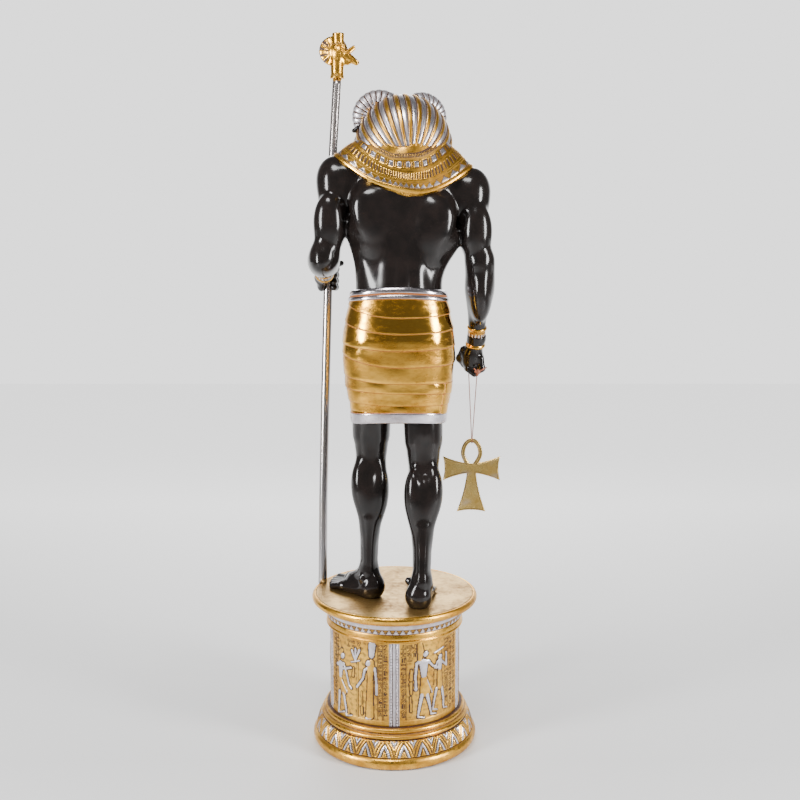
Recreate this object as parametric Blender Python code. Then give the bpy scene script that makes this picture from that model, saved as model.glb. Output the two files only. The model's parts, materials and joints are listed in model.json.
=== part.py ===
"""Statue of a ram-headed god in a pleated kilt, on a round carved plinth.

Metres. Origin at the middle of the plinth's underside, +Z up, the figure looks toward -Y
and its own left hand, with the staff, is on +X. Heights in the figure tables are above the
plinth top and shares of FIGURE_HEIGHT through K, so the figure grows from its soles and the
staff, the ankh and its cord keep their places in its hands.
"""
import math

import bmesh
import bpy
import numpy as np
from mathutils import Vector

# driving dimensions
PLINTH_HEIGHT = 0.516
TOP_RADIUS = 0.280
DRUM_RADIUS = 0.221
BASE_RADIUS = 0.280
LEAVES = 32
STRIPS = 5
STRIP_HALF = 4.3
STRIP_PROUD = 0.004
FIGURE_HEIGHT = 1.631
KILT_HEM = 0.592
COLLAR_THICK = 0.008
FLUTES = 34
FLUTE_STEP = 0.0035
HORN_RADIUS = 0.058
STAFF_DIAMETER = 0.030
STAFF_TOP = 1.722
FINIAL_HEIGHT = 0.148
ANKH_CROSS = 0.418
ANKH_THICK = 0.011
ANKH_SPAN = 0.194
ANKH_X, ANKH_Y = -0.260, -0.030
RING_TOP = 0.0956
RING_BAR = 0.0140
CORD_DIAMETER = 0.003
GAP = 0.0003
BODY_CELL = 0.0115
BODY_FACES = 1900
FIGURE_FACES = 4200

K = FIGURE_HEIGHT / 1.631
AX, AY, AZ = ANKH_X * K, ANKH_Y * K, ANKH_CROSS * K
TIP = (0.1950 * K, -0.2509 * K, STAFF_TOP * K)
CORD_R = CORD_DIAMETER / 2

for old in list(bpy.data.objects):
    bpy.data.objects.remove(old, do_unlink=True)
group = bpy.data.collections.new("khnum_statue")
bpy.context.scene.collection.children.link(group)


def material(name, colour, metal, rough):
    mat = bpy.data.materials.new(name)
    mat.use_nodes = True
    shader = mat.node_tree.nodes["Principled BSDF"]
    shader.inputs["Base Color"].default_value = (*colour, 1.0)
    shader.inputs["Metallic"].default_value = metal
    shader.inputs["Roughness"].default_value = rough
    mat.diffuse_color = (*colour, 1.0)
    return mat


def place(name, verts, faces, mat=None):
    mesh = bpy.data.meshes.new(name)
    mesh.from_pydata([tuple(float(c) for c in v) for v in verts], [], faces)
    form = bmesh.new()
    form.from_mesh(mesh)
    bmesh.ops.recalc_face_normals(form, faces=form.faces[:])
    form.to_mesh(mesh)
    form.free()
    body = bpy.data.objects.new(name, mesh)
    group.objects.link(body)
    if mat:
        mesh.materials.append(mat)
    return body


def baked(body):
    deps = bpy.context.evaluated_depsgraph_get()
    mesh = bpy.data.meshes.new_from_object(body.evaluated_get(deps))
    body.modifiers.clear()
    body.data = mesh
    return body


def combine(body, other, operation):
    step = body.modifiers.new(operation, 'BOOLEAN')
    step.operation = operation
    step.solver = 'EXACT'
    step.object = other
    baked(body)
    bpy.data.objects.remove(other, do_unlink=True)
    return body


def drop_crumbs(body):
    """Takes away the splinters of a few corners that a union can leave."""
    form = bmesh.new()
    form.from_mesh(body.data)
    seen = set()
    for start in form.verts:
        if start in seen:
            continue
        seen.add(start)
        piece, stack = [], [start]
        while stack:
            vert = stack.pop()
            piece.append(vert)
            for edge in vert.link_edges:
                other = edge.other_vert(vert)
                if other not in seen:
                    seen.add(other)
                    stack.append(other)
        if len(piece) < 40:
            for vert in piece:
                vert.tag = True
    bmesh.ops.delete(form, geom=[v for v in form.verts if v.tag], context='VERTS')
    form.to_mesh(body.data)
    form.free()
    return body


def reduce_faces(body, target):
    tris = sum(len(p.vertices) - 2 for p in body.data.polygons)
    if tris > target:
        step = body.modifiers.new("reduce", 'DECIMATE')
        step.ratio = target / tris
        baked(body)
    return body


def ring_solid(name, rings, mat=None, around=False):
    """Rings of points joined in order; capped with fans, or closed on itself when around."""
    count = len(rings[0])
    verts = [p for ring in rings for p in ring]
    faces = []
    pairs = [(i, i + 1) for i in range(len(rings) - 1)]
    if around:
        pairs.append((len(rings) - 1, 0))
    for a, b in pairs:
        for j in range(count):
            k = (j + 1) % count
            faces.append((a * count + j, a * count + k, b * count + k, b * count + j))
    if not around:
        for i in (0, len(rings) - 1):
            middle = np.mean(np.array(rings[i], float), axis=0)
            verts.append(tuple(middle))
            for j in range(count):
                faces.append((i * count + j, i * count + (j + 1) % count, len(verts) - 1))
    return place(name, verts, faces, mat)


def tube(name, points, radii, sides, mat=None, up=(0.0, 1.0, 0.0)):
    """Round bar through the points; its facets keep one direction all the way."""
    pts = [Vector(p) for p in points]
    rings = []
    for i, p in enumerate(pts):
        along = (pts[min(i + 1, len(pts) - 1)] - pts[max(i - 1, 0)]).normalized()
        side = Vector(up).cross(along).normalized()
        other = along.cross(side)
        r = radii[i] if hasattr(radii, "__len__") else radii
        rings.append([p + side * (r * math.cos(t)) + other * (r * math.sin(t))
                      for t in [2 * math.pi * j / sides for j in range(sides)]])
    return ring_solid(name, rings, mat)


# smooth solids as blended fields: round cones and blobs, with carved grooves

def smooth_min(a, b, k):
    h = np.maximum(k - np.abs(a - b), 0.0) / k
    return np.minimum(a, b) - h * h * k * 0.25


def cone(a, b, ra, rb, k=0.02, carve=False):
    a, b = np.array(a, float), np.array(b, float)
    lo = np.minimum(a - ra, b - rb) - 0.055
    hi = np.maximum(a + ra, b + rb) + 0.055

    def dist(p):
        ab = b - a
        t = np.clip((p - a) @ ab / (ab @ ab), 0.0, 1.0)
        return np.linalg.norm(p - a - t[:, None] * ab, axis=1) - (ra + (rb - ra) * t)
    return dist, lo, hi, k, carve


def blob(c, r, turn=(0.0, 0.0, 0.0), k=0.02, carve=False):
    """Ellipsoid; turn is degrees about x, then y, then z."""
    c, r = np.array(c, float), np.array(r, float)
    rx, ry, rz = [math.radians(v) for v in turn]
    mx = np.array([[1, 0, 0], [0, math.cos(rx), -math.sin(rx)], [0, math.sin(rx), math.cos(rx)]])
    my = np.array([[math.cos(ry), 0, math.sin(ry)], [0, 1, 0], [-math.sin(ry), 0, math.cos(ry)]])
    mz = np.array([[math.cos(rz), -math.sin(rz), 0], [math.sin(rz), math.cos(rz), 0], [0, 0, 1]])
    m = mz @ my @ mx
    reach = np.sqrt((m ** 2) @ (r ** 2)) + 0.055

    def dist(p):
        q = (p - c) @ m
        k0 = np.linalg.norm(q / r, axis=1) + 1e-9
        k1 = np.linalg.norm(q / (r * r), axis=1) + 1e-9
        return k0 * (k0 - 1.0) / k1
    return dist, c - reach, c + reach, k, carve


def field(p, parts):
    d = np.full(len(p), 0.3)
    for dist, lo, hi, k, carve in parts:
        near = np.nonzero(((p > lo) & (p < hi)).all(axis=1))[0]
        if len(near) == 0:
            continue
        e = dist(p[near])
        if carve:
            d[near] = -smooth_min(-d[near], e, k)
        else:
            d[near] = smooth_min(d[near], e, k)
    return d


def untangle(val):
    """Fills a corner wherever two solid corners meet only across a square or a cube."""
    for _ in range(12):
        changed = 0
        for u, v in ((0, 1), (1, 2), (0, 2)):
            corner = []
            for du in (0, 1):
                for dv in (0, 1):
                    pick = [slice(None)] * 3
                    pick[u] = slice(du, val.shape[u] - 1 + du)
                    pick[v] = slice(dv, val.shape[v] - 1 + dv)
                    corner.append(val[tuple(pick)])
            a, b, c, d = corner
            for p, q, r, s in ((a, d, b, c), (b, c, a, d)):
                bad = (p < 0) & (q < 0) & (r >= 0) & (s >= 0)
                changed += int(bad.sum())
                first = bad & (r <= s)
                r[first] = -1e-4
                s[bad & ~first] = -1e-4
        cut = [[slice(i, n - 1 + i) for i in (0, 1)] for n in val.shape]
        view = {(i, j, k): val[cut[0][i], cut[1][j], cut[2][k]] for i in (0, 1) for j in (0, 1) for k in (0, 1)}
        solid = sum((w < 0).astype(int) for w in view.values())
        for i, j in ((0, 0), (0, 1), (1, 0), (1, 1)):
            p, q = view[(i, j, 0)], view[(1 - i, 1 - j, 1)]
            pair = (p < 0) & (q < 0) & (solid == 2)
            hole = (p >= 0) & (q >= 0) & (solid == 6)
            changed += int(pair.sum()) + int(hole.sum())
            view[(i, j, 1)][pair] = -1e-4
            p[hole] = -1e-4
        if not changed:
            break
    return val


def surface_net(parts, lo, hi, cell, rounds=3):
    """Quads on the zero level of a field, one vertex in each cell that the surface crosses."""
    axes = [np.arange(lo[i], hi[i] + cell, cell) for i in range(3)]
    grid = np.stack(np.meshgrid(*axes, indexing='ij'), axis=-1)
    shape = grid.shape[:3]
    val = untangle(field(grid.reshape(-1, 3), parts).reshape(shape))
    cells = tuple(n - 1 for n in shape)
    total, count = np.zeros(cells + (3,)), np.zeros(cells)
    for ax in range(3):
        first = [slice(None)] * 3
        second = [slice(None)] * 3
        first[ax], second[ax] = slice(0, -1), slice(1, None)
        a, b = val[tuple(first)], val[tuple(second)]
        hit = (a < 0) != (b < 0)
        t = np.where(hit, a / np.where(a == b, 1.0, a - b), 0.0)
        pos = grid[tuple(first)].copy()
        pos[..., ax] += t * cell
        u, v = (ax + 1) % 3, (ax + 2) % 3
        for du in (0, 1):
            for dv in (0, 1):
                pick = [slice(None)] * 3
                pick[u] = slice(du, shape[u] - 1 + du)
                pick[v] = slice(dv, shape[v] - 1 + dv)
                h = hit[tuple(pick)]
                total += np.where(h[..., None], pos[tuple(pick)], 0.0)
                count += h
    ids = np.full(cells, -1, int)
    active = count > 0
    ids[active] = np.arange(active.sum())
    verts = total[active] / count[active][:, None]
    quads = []
    for ax in range(3):
        u, v = (ax + 1) % 3, (ax + 2) % 3
        first = [slice(None)] * 3
        second = [slice(None)] * 3
        first[ax], second[ax] = slice(0, -1), slice(1, None)
        a, b = val[tuple(first)], val[tuple(second)]
        at = np.argwhere((a < 0) != (b < 0))
        at = at[(at[:, u] > 0) & (at[:, v] > 0) & (at[:, u] < cells[u]) & (at[:, v] < cells[v])]
        out = a[tuple(at.T)] >= 0
        eu, ev = np.eye(3, dtype=int)[u], np.eye(3, dtype=int)[v]
        q = np.stack([ids[tuple((at - eu - ev).T)], ids[tuple((at - ev).T)],
                      ids[tuple(at.T)], ids[tuple((at - eu).T)]], axis=1)
        q[out] = q[out][:, ::-1]
        quads.append(q)
    for _ in range(rounds):
        f = field(verts, parts)
        g = np.zeros_like(verts)
        for ax in range(3):
            step = np.zeros(3)
            step[ax] = 0.0005
            g[:, ax] = (field(verts + step, parts) - field(verts - step, parts)) / 0.001
        g2 = np.maximum((g * g).sum(axis=1), 0.25)
        move = -f[:, None] * g / g2[:, None]
        size = np.linalg.norm(move, axis=1)
        move *= np.minimum(1.0, 0.4 * cell / np.maximum(size, 1e-9))[:, None]
        verts = verts + move
    return verts, [tuple(int(i) for i in q) for q in np.concatenate(quads)]


# joints and turning directions of the figure, heights above the plinth top
HEAD = np.array([-0.027, 0.055, 1.525])
FACE = np.array([math.sin(math.radians(13)), -math.cos(math.radians(13)), 0.0])
SIDE = np.array([math.cos(math.radians(13)), math.sin(math.radians(13)), 0.0])
SHOULDER_L, SHOULDER_R = (0.178, 0.085, 1.356), (-0.237, 0.085, 1.320)
ELBOW_L, ELBOW_R = (0.2145, 0.122, 1.130), (-0.268, 0.100, 1.110)
WRIST_L, WRIST_R = (0.235, -0.120, 1.070), (-0.270, 0.004, 0.862)
GRIP = (0.2275, -0.185, 1.050)
FIST_R = (-0.2530, -0.026, 0.786)
KNEE_L, KNEE_R = (0.0765, 0.012, 0.490), (-0.0955, 0.070, 0.480)
ANKLE_L, ANKLE_R = (0.0860, 0.046, 0.080), (-0.0890, 0.155, 0.080)
TOE_L, TOE_R = (0.704, -0.710), (-0.085, -0.996)
HEEL_L, HEEL_R = (0.066, 0.074), (-0.078, 0.180)


def head_point(out, ahead, up):
    return HEAD + SIDE * out + FACE * ahead + np.array([0.0, 0.0, up])


def torso_parts():
    parts = [
        blob((-0.027, 0.080, 1.240), (0.146, 0.098, 0.205)),
        blob((-0.030, 0.085, 1.335), (0.168, 0.086, 0.085), (0, -5.5, 0), 0.05),
        blob((-0.016, 0.085, 1.050), (0.136, 0.096, 0.170), k=0.04),
        blob((-0.0165, 0.090, 0.930), (0.150, 0.110, 0.140), k=0.04),
        cone((-0.035, 0.100, 1.380), (-0.030, 0.075, 1.520), 0.070, 0.066, 0.05),
        cone((-0.035, 0.105, 1.430), (0.125, 0.092, 1.392), 0.050, 0.042, 0.05),
        cone((-0.035, 0.105, 1.425), (-0.180, 0.092, 1.358), 0.050, 0.042, 0.05),
    ]
    for side, top in ((1, 0.0), (-1, -0.030)):
        mid = -0.028
        parts += [
            cone((mid + side * 0.128, 0.105, 1.215 + top), (mid + (0.088 if side > 0 else -0.066), 0.095, 1.060),
                 0.056, 0.044 if side > 0 else 0.038, 0.03),
            blob((mid + side * 0.098, 0.140, 1.290 + top), (0.066, 0.045, 0.070), (0, side * 20, 0), 0.02),
            blob((mid + side * 0.082, 0.142, 1.200 + top * 0.5), (0.060, 0.038, 0.085),
                 (0, side * 16, 0), 0.02),
            cone((mid + side * 0.034, 0.146, 1.000), (mid + side * 0.036, 0.140, 1.180), 0.036, 0.028, 0.02),
            blob((mid + side * 0.082, 0.005, 1.290 + top * 0.7), (0.082, 0.042, 0.062),
                 (0, side * -12, 0), 0.02),
            cone((mid + side * 0.030, 0.005, 1.000), (mid + side * 0.028, -0.002, 1.200), 0.030, 0.028, 0.02),
        ]
    parts += [
        cone((-0.020, 0.196, 0.990), (-0.030, 0.196, 1.330), 0.011, 0.010, 0.030, True),
        cone((-0.022, -0.034, 1.040), (-0.026, -0.042, 1.320), 0.006, 0.008, 0.022, True),
    ]
    return parts


def arm_parts(shoulder, elbow, wrist, side):
    s, e, w = [np.array(v, float) for v in (shoulder, elbow, wrist)]
    upper = lambda t, out, back: s + (e - s) * t + np.array([side * out, back, 0.0])
    lower = lambda t, out, up: e + (w - e) * t + np.array([side * out, 0.0, up])
    return [
        blob(s + np.array([side * 0.002, 0.0, 0.0]), (0.064, 0.064, 0.086), (0, side * 8, 0), 0.03),
        cone(s + (e - s) * 0.15, e, 0.050, 0.040, 0.02),
        blob(upper(0.55, 0.004, 0.028), (0.049, 0.042, 0.092), (-6, 0, 0), 0.015),
        blob(upper(0.62, -0.004, -0.024), (0.042, 0.038, 0.080), k=0.015),
        cone(upper(0.95, 0.012, 0.010), lower(0.35, 0.006, 0.006), 0.036, 0.040, 0.02),
        cone(e, w, 0.039, 0.0265, 0.02),
        blob(lower(0.30, 0.006, 0.0), np.abs((w - e) * 0.36) + np.array([0.042, 0.040, 0.030]), k=0.02),
    ]


def left_hand_parts():
    g = np.array(GRIP)
    parts = [
        cone((WRIST_L[0], WRIST_L[1], WRIST_L[2]), g + np.array([0.020, 0.030, 0.004]), 0.027, 0.026, 0.015),
        blob(g + np.array([0.024, 0.006, 0.0]), (0.018, 0.036, 0.044), (0, 0, 12), 0.012),
        cone(g + np.array([0.008, 0.044, 0.026]), g + np.array([-0.024, 0.034, 0.046]), 0.014, 0.012, 0.01),
        cone(g + np.array([-0.024, 0.034, 0.046]), g + np.array([-0.045, 0.012, 0.052]), 0.012, 0.010, 0.01),
    ]
    for n in range(4):
        up = 0.031 - 0.0205 * n
        reach = 0.0270 - 0.0008 * n
        turns = [math.radians(a) for a in (20, -45, -105, -165, -215)]
        ring = [g + np.array([reach * math.cos(a), reach * math.sin(a), up]) for a in turns]
        for a, b in zip(ring, ring[1:]):
            parts.append(cone(a, b, 0.0118, 0.0112, 0.006))
    return parts


def right_hand_parts():
    f = np.array(FIST_R)
    parts = [
        cone(WRIST_R, f + np.array([-0.008, 0.012, 0.030]), 0.0265, 0.027, 0.02),
        blob(f + np.array([-0.004, 0.004, 0.006]), (0.035, 0.033, 0.045), k=0.02),
        cone(f + np.array([0.022, 0.000, 0.034]), f + np.array([0.034, -0.014, 0.004]), 0.014, 0.0125, 0.01),
        cone(f + np.array([0.034, -0.014, 0.004]), f + np.array([0.020, -0.024, -0.018]), 0.0125, 0.011, 0.01),
    ]
    for n in range(4):
        y = 0.024 - 0.0190 * n
        size = (0.0108, 0.0122, 0.0122, 0.0110)[n]
        a = f + np.array([-0.032, y + 0.002, 0.008])
        b = f + np.array([-0.036, y, -0.026])
        c = f + np.array([-0.012, y, -0.042])
        d = f + np.array([0.010, y, -0.028])
        parts += [cone(a, b, size, size, 0.008), cone(b, c, size, size, 0.006), cone(c, d, size, size * 0.95, 0.006)]
    return parts


def leg_parts(hip, knee, ankle, side):
    h, k, a = [np.array(v, float) for v in (hip, knee, ankle)]
    shin = lambda t, out, back: k + (a - k) * t + np.array([side * out, back, 0.0])
    return [
        cone(h, k + np.array([0.0, 0.0, 0.06]), 0.089, 0.061, 0.04),
        blob(k + np.array([0.0, 0.0, 0.055]), (0.050, 0.055, 0.080), k=0.03),
        blob(k + np.array([0.0, -0.004, 0.0]), (0.045, 0.049, 0.050), k=0.02),
        cone(k, a, 0.040, 0.0285, 0.02),
        blob(shin(0.330, -0.026, 0.024), (0.036, 0.044, 0.098), (3, side * -3, 0), 0.025),
        blob(shin(0.300, 0.028, 0.022), (0.036, 0.042, 0.092), (3, side * 4, 0), 0.025),
        blob(shin(0.48, 0.0, 0.018), (0.036, 0.034, 0.110), k=0.02),
        cone(shin(0.55, 0.0, 0.030), shin(0.98, 0.0, 0.030), 0.020, 0.0165, 0.02),
        blob(k + np.array([side * 0.002, 0.064, 0.012]), (0.012, 0.010, 0.040), k=0.030, carve=True),
        cone(k + np.array([0.0, 0.010, 0.10]), k + np.array([0.0, 0.006, -0.04]), 0.040, 0.040, 0.03),
    ]


def foot_parts(ankle, heel, toward, outward):
    """Foot along toward, its little-toe side on outward."""
    u = np.array([toward[0], toward[1], 0.0])
    v = np.array([outward[0], outward[1], 0.0])
    base = np.array([heel[0], heel[1], 0.0])
    pt = lambda ahead, out, up: base + u * ahead + v * out + np.array([0.0, 0.0, up])
    parts = [
        blob(pt(0.010, 0.0, 0.038), (0.041, 0.039, 0.047), k=0.015),
        cone(ankle, pt(0.100, -0.006, 0.040), 0.031, 0.027, 0.025),
        cone(pt(0.02, -0.006, 0.032), pt(0.135, -0.020, 0.026), 0.033, 0.028, 0.02),
        cone(pt(0.02, 0.010, 0.022), pt(0.125, 0.028, 0.018), 0.025, 0.018, 0.02),
        blob(pt(0.040, -0.036, 0.078), (0.011, 0.011, 0.012), k=0.012),
        blob(pt(0.028, 0.034, 0.066), (0.010, 0.010, 0.012), k=0.012),
    ]
    toes = ((-0.028, 0.205, 0.0150), (-0.006, 0.206, 0.0112), (0.012, 0.196, 0.0108),
            (0.028, 0.184, 0.0102), (0.042, 0.168, 0.0100))
    for out, tip, size in toes:
        parts.append(cone(pt(0.125, out * 0.86, 0.020), pt(tip, out, size), size * 1.12, size, 0.008))
    return parts


def head_parts():
    """Ram's head, plain: skull, long muzzle, jaw, brow and level ears."""
    parts = [
        blob(HEAD, (0.074, 0.088, 0.082), (0, 0, 13), 0.02),
        cone(head_point(0, 0.060, 0.004), head_point(0, 0.178, -0.066), 0.058, 0.034, 0.03),
        cone(head_point(0, 0.040, -0.062), head_point(0, 0.160, -0.098), 0.040, 0.024, 0.02),
        blob(head_point(0, 0.186, -0.080), (0.031, 0.026, 0.029), (0, 0, 13), 0.012),
    ]
    for s in (1, -1):
        parts += [
            blob(head_point(s * 0.048, 0.084, 0.026), (0.016, 0.024, 0.014), (0, 0, 13), 0.012),
            cone(head_point(s * 0.070, 0.020, 0.006), head_point(s * 0.118, 0.022, 0.004), 0.017, 0.019, 0.012),
            cone(head_point(s * 0.118, 0.022, 0.004), head_point(s * 0.152, 0.020, -0.006), 0.018, 0.007, 0.01),
        ]
    return parts


def body_parts():
    parts = torso_parts()
    parts += arm_parts(SHOULDER_L, ELBOW_L, WRIST_L, 1) + arm_parts(SHOULDER_R, ELBOW_R, WRIST_R, -1)
    parts += leg_parts((0.070, 0.078, 0.840), KNEE_L, ANKLE_L, 1)
    parts += leg_parts((-0.105, 0.090, 0.840), KNEE_R, ANKLE_R, -1)
    parts += foot_parts(ANKLE_L, HEEL_L, TOE_L, (0.710, 0.704))
    parts += foot_parts(ANKLE_R, HEEL_R, TOE_R, (-0.996, 0.085))
    parts += left_hand_parts() + right_hand_parts() + head_parts()
    return parts


def lift(p):
    """Figure coordinates to the statue's frame."""
    p = np.asarray(p, float) * K
    return p + np.array([0.0, 0.0, PLINTH_HEIGHT + GAP])


def lifted(points):
    return [tuple(lift(p)) for p in points]


def ellipse_ring(cx, cy, a, b, zs, power=2.3, count=28):
    """Ring of a rounded-square oval; zs gives the height at each angle."""
    ring = []
    for j in range(count):
        t = 2 * math.pi * j / count
        c, s = math.cos(t), math.sin(t)
        r = (abs(c) ** power + abs(s) ** power) ** (-1.0 / power)
        ring.append((cx + a * r * c, cy + b * r * s, zs(t)))
    return ring


KILT_Z = (0.560, 0.597, 0.620, 0.643, 0.666, 0.689, 0.712, 0.757, 0.802, 0.848, 0.892, 0.937, 0.982, 1.004, 1.037, 1.08)
KILT_HALF = (0.150, 0.1520, 0.1535, 0.1585, 0.1625, 0.1680, 0.1725, 0.1755, 0.1805, 0.1800, 0.1775, 0.1690,
             0.1590, 0.1550, 0.1375, 0.137)
PLEATS = ((0.979, 0.942, 0.953), (0.925, 0.892, 0.902), (0.857, 0.839, 0.848), (0.825, 0.786, 0.793),
          (0.754, 0.733, 0.731), (0.712, 0.702, 0.692), (0.669, 0.661, 0.657), (0.637, 0.638, 0.623))
BELT_TOP, BELT_LOW = 1.037, 1.002
HEM_BAND = 0.036


def kilt_height(edge, t):
    """Height of a pleat edge round the body: left, back and right of the photograph."""
    left, back, right = edge
    c, s = math.cos(t), math.sin(t)
    side = left if c > 0 else right
    toward = back if s > 0 else (left + right) / 2 - 0.004
    return side * c * c + toward * s * s


def kilt_ring(edge, proud, drop=0.0, count=28):
    flat = isinstance(edge, float)
    ring = []
    for j in range(count):
        t = 2 * math.pi * j / count
        z = (edge if flat else kilt_height(edge, t)) - drop
        half = float(np.interp(z, KILT_Z, KILT_HALF)) + proud
        deep = float(np.interp(z, (0.56, 0.60, 0.75, 0.87, 0.95, 1.00, 1.04), (0.106, 0.108, 0.121, 0.128, 0.124, 0.115, 0.104)))
        mid = float(np.interp(z, (0.60, 0.87, 1.00), (0.0525, 0.086, 0.088)))
        c, s = math.cos(t), math.sin(t)
        r = (abs(c) ** 2.3 + abs(s) ** 2.3) ** (-1.0 / 2.3)
        ring.append((-0.0145 + half * r * c, mid + (deep + proud) * r * s, z))
    return ring


def kilt():
    dip = 0.014
    belt = lambda z: (z - dip, z, z - dip)
    hem = (KILT_HEM, KILT_HEM + 0.012, KILT_HEM)
    rows = [kilt_ring(belt(BELT_TOP), -0.012), kilt_ring(belt(BELT_TOP), 0.0025),
            kilt_ring(belt(BELT_LOW), 0.0035), kilt_ring(belt(BELT_LOW), -0.003, 0.001)]
    for edge in PLEATS:
        rows += [kilt_ring(edge, 0.0035), kilt_ring(edge, -0.0035, 0.0015)]
    rows += [kilt_ring(hem, 0.0, -HEM_BAND), kilt_ring(hem, 0.0), kilt_ring(hem, -0.010)]
    rows.append(kilt_ring(hem, -0.012, -0.020))
    return ring_solid("kilt", [lifted(r) for r in rows])


COLLAR_HUB = np.array([-0.030, 0.090, 1.220])


def ray_surface(parts, hub, ways, level):
    """First point on each ray where the field comes out to the given level."""
    steps = np.arange(0.02, 0.42, 0.002)
    p = hub + ways[:, None, :] * steps[None, :, None]
    f = field(p.reshape(-1, 3), parts).reshape(len(ways), len(steps)) - level
    last = np.clip(np.argmax(f >= 0, axis=1) - 1, 0, len(steps) - 2)
    rows = np.arange(len(ways))
    a, b = f[rows, last], f[rows, last + 1]
    t = steps[last] + 0.002 * np.clip(-a / np.maximum(b - a, 1e-9), 0, 1)
    return hub + ways * t[:, None]


def collar_rim(t):
    """Elevation of the rim seen from the hub: left, back, right, front."""
    c, s = math.cos(t), math.sin(t)
    side = 45.5 if c > 0 else 41.5
    sway = 7.6 * math.exp(-((t - 1.22) / 0.42) ** 2) - 6.5 * math.exp(-((t - 2.69) / 0.35) ** 2)
    return side * c * c + (44.0 if s > 0 else 36.0) * s * s + sway


def collar(count=36):
    bare = torso_parts() + arm_parts(SHOULDER_L, ELBOW_L, WRIST_L, 1) + arm_parts(SHOULDER_R, ELBOW_R, WRIST_R, -1)
    ways_at = lambda share: np.array([
        (math.cos(e) * math.cos(t), math.cos(e) * math.sin(t), math.sin(e))
        for t in [2 * math.pi * j / count for j in range(count)]
        for e in [math.radians(66 + (collar_rim(t) - 66) * share)]])
    top = COLLAR_THICK
    rows = []
    for share, level in ((0.0, top), (0.35, top), (0.68, top), (0.90, top), (0.905, top + 0.004),
                         (1.0, top + 0.003), (1.01, top - 0.004), (1.0, -0.008), (0.6, -0.012), (0.0, -0.012)):
        rows.append(lifted(ray_surface(bare, COLLAR_HUB, ways_at(share), level)))
    return ring_solid("collar", rows, around=True)


DRESS = np.array([-0.030, 0.060, 1.490])
DRESS_HALF = np.array([0.143, 0.118, 0.141])


def dress_point(alpha, beta, grow):
    """Point of the cloth: alpha from the gather at the back, beta round it from straight up."""
    pole = np.array([-0.17, 0.955, -0.24])
    pole /= np.linalg.norm(pole)
    right = np.cross(pole, (0.0, 0.0, 1.0))
    right /= np.linalg.norm(right)
    up = np.cross(right, pole)
    way = pole * math.cos(alpha) + (up * math.cos(beta) + right * math.sin(beta)) * math.sin(alpha)
    flare = 0.11 * math.exp(-((abs(beta) - 1.9) / 0.5) ** 2) * math.sin(alpha) ** 2
    p = DRESS + way * DRESS_HALF * (1.0 + flare) * (1.0 + grow / 0.14)
    return p


def headdress():
    rows = []
    count = FLUTES * 2
    for alpha in (4, 14, 30, 52, 76, 98, 112):
        ring = []
        for j in range(count):
            beta = 2 * math.pi * j / count
            beta = beta if beta <= math.pi else beta - 2 * math.pi
            step = (FLUTE_STEP if j % 2 else -FLUTE_STEP) * min(1.0, alpha / 25)
            ring.append(dress_point(math.radians(alpha), beta, step * 0.5))
        rows.append(lifted(ring))
    return combine(ring_solid("headdress", rows), slab(float(lift((0, 0, 1.452))[2])), 'DIFFERENCE')


def lappet(side):
    rows = []
    top = 0.03 if side < 0 else 0.0
    for z, y, half, out in ((1.475, 0.000, 0.030, 0.088), (1.420, -0.020, 0.029, 0.084), (1.350, -0.036, 0.026, 0.076),
                            (1.270, -0.052, 0.022, 0.068)):
        x = -0.028 + side * out
        rows.append(lifted([(x - half, y + 0.05, z - top), (x + half, y + 0.05, z - top),
                            (x + half, y, z - top), (x, y - 0.006, z - top), (x - half, y, z - top)]))
    return ring_solid("lappet", rows)


def horn(side):
    """Curled horn beside the face, thick at the brow and thin where it ends."""
    hub = np.array((0.040, 0.050, 1.560) if side > 0 else (-0.086, 0.030, 1.555))
    out = SIDE * side
    points, radii = [], []
    for i in range(22):
        t = i / 21
        turn = math.radians(-38 + 300 * t)
        sweep = HORN_RADIUS * (1.0 - 0.42 * t ** 1.5)
        points.append(lift(hub + out * (sweep * math.sin(turn)) + np.array([0, 0, sweep * math.cos(turn)])
                           + FACE * (0.060 * t)))
        radii.append(K * (0.0290 * (1 - t) ** 0.75 + 0.006))
    return tube("horn", points, radii, 9, up=tuple(FACE))


def cuff(a, b):
    a, b = np.array(a), np.array(b)
    shares = (0.0, 0.16, 0.20, 0.80, 0.84, 1.0)
    radii = (0.0320, 0.0315, 0.0290, 0.0290, 0.0325, 0.0330)
    return tube("cuff", [lift(a + (b - a) * s) for s in shares], [r * K for r in radii], 16, up=(1.0, 0.0, 0.0))


STAFF = ((0.2505, -0.0817, 0.0), (0.2490, -0.0950, 0.1346), (0.2473, -0.1114, 0.3018), (0.2434, -0.1278, 0.4682),
         (0.2396, -0.1441, 0.6337), (0.2350, -0.1604, 0.7985), (0.2288, -0.1819, 1.0171),
         (0.2200, -0.2000, 1.2200), (0.2092, -0.2285, 1.4904), (0.1950, -0.2509, STAFF_TOP))


def staff_points():
    return [Vector(p) * K + Vector((0, 0, PLINTH_HEIGHT + GAP)) for p in STAFF]


def staff_bar(name, radius, mat=None, trim=0.0):
    pts = staff_points()
    rings = []
    for p in pts:
        rings.append([(p.x + radius * math.cos(t), p.y + radius * math.sin(t), p.z)
                      for t in [2 * math.pi * (j + 0.5) / 14 for j in range(14)]])
    return ring_solid(name, rings, mat)


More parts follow.
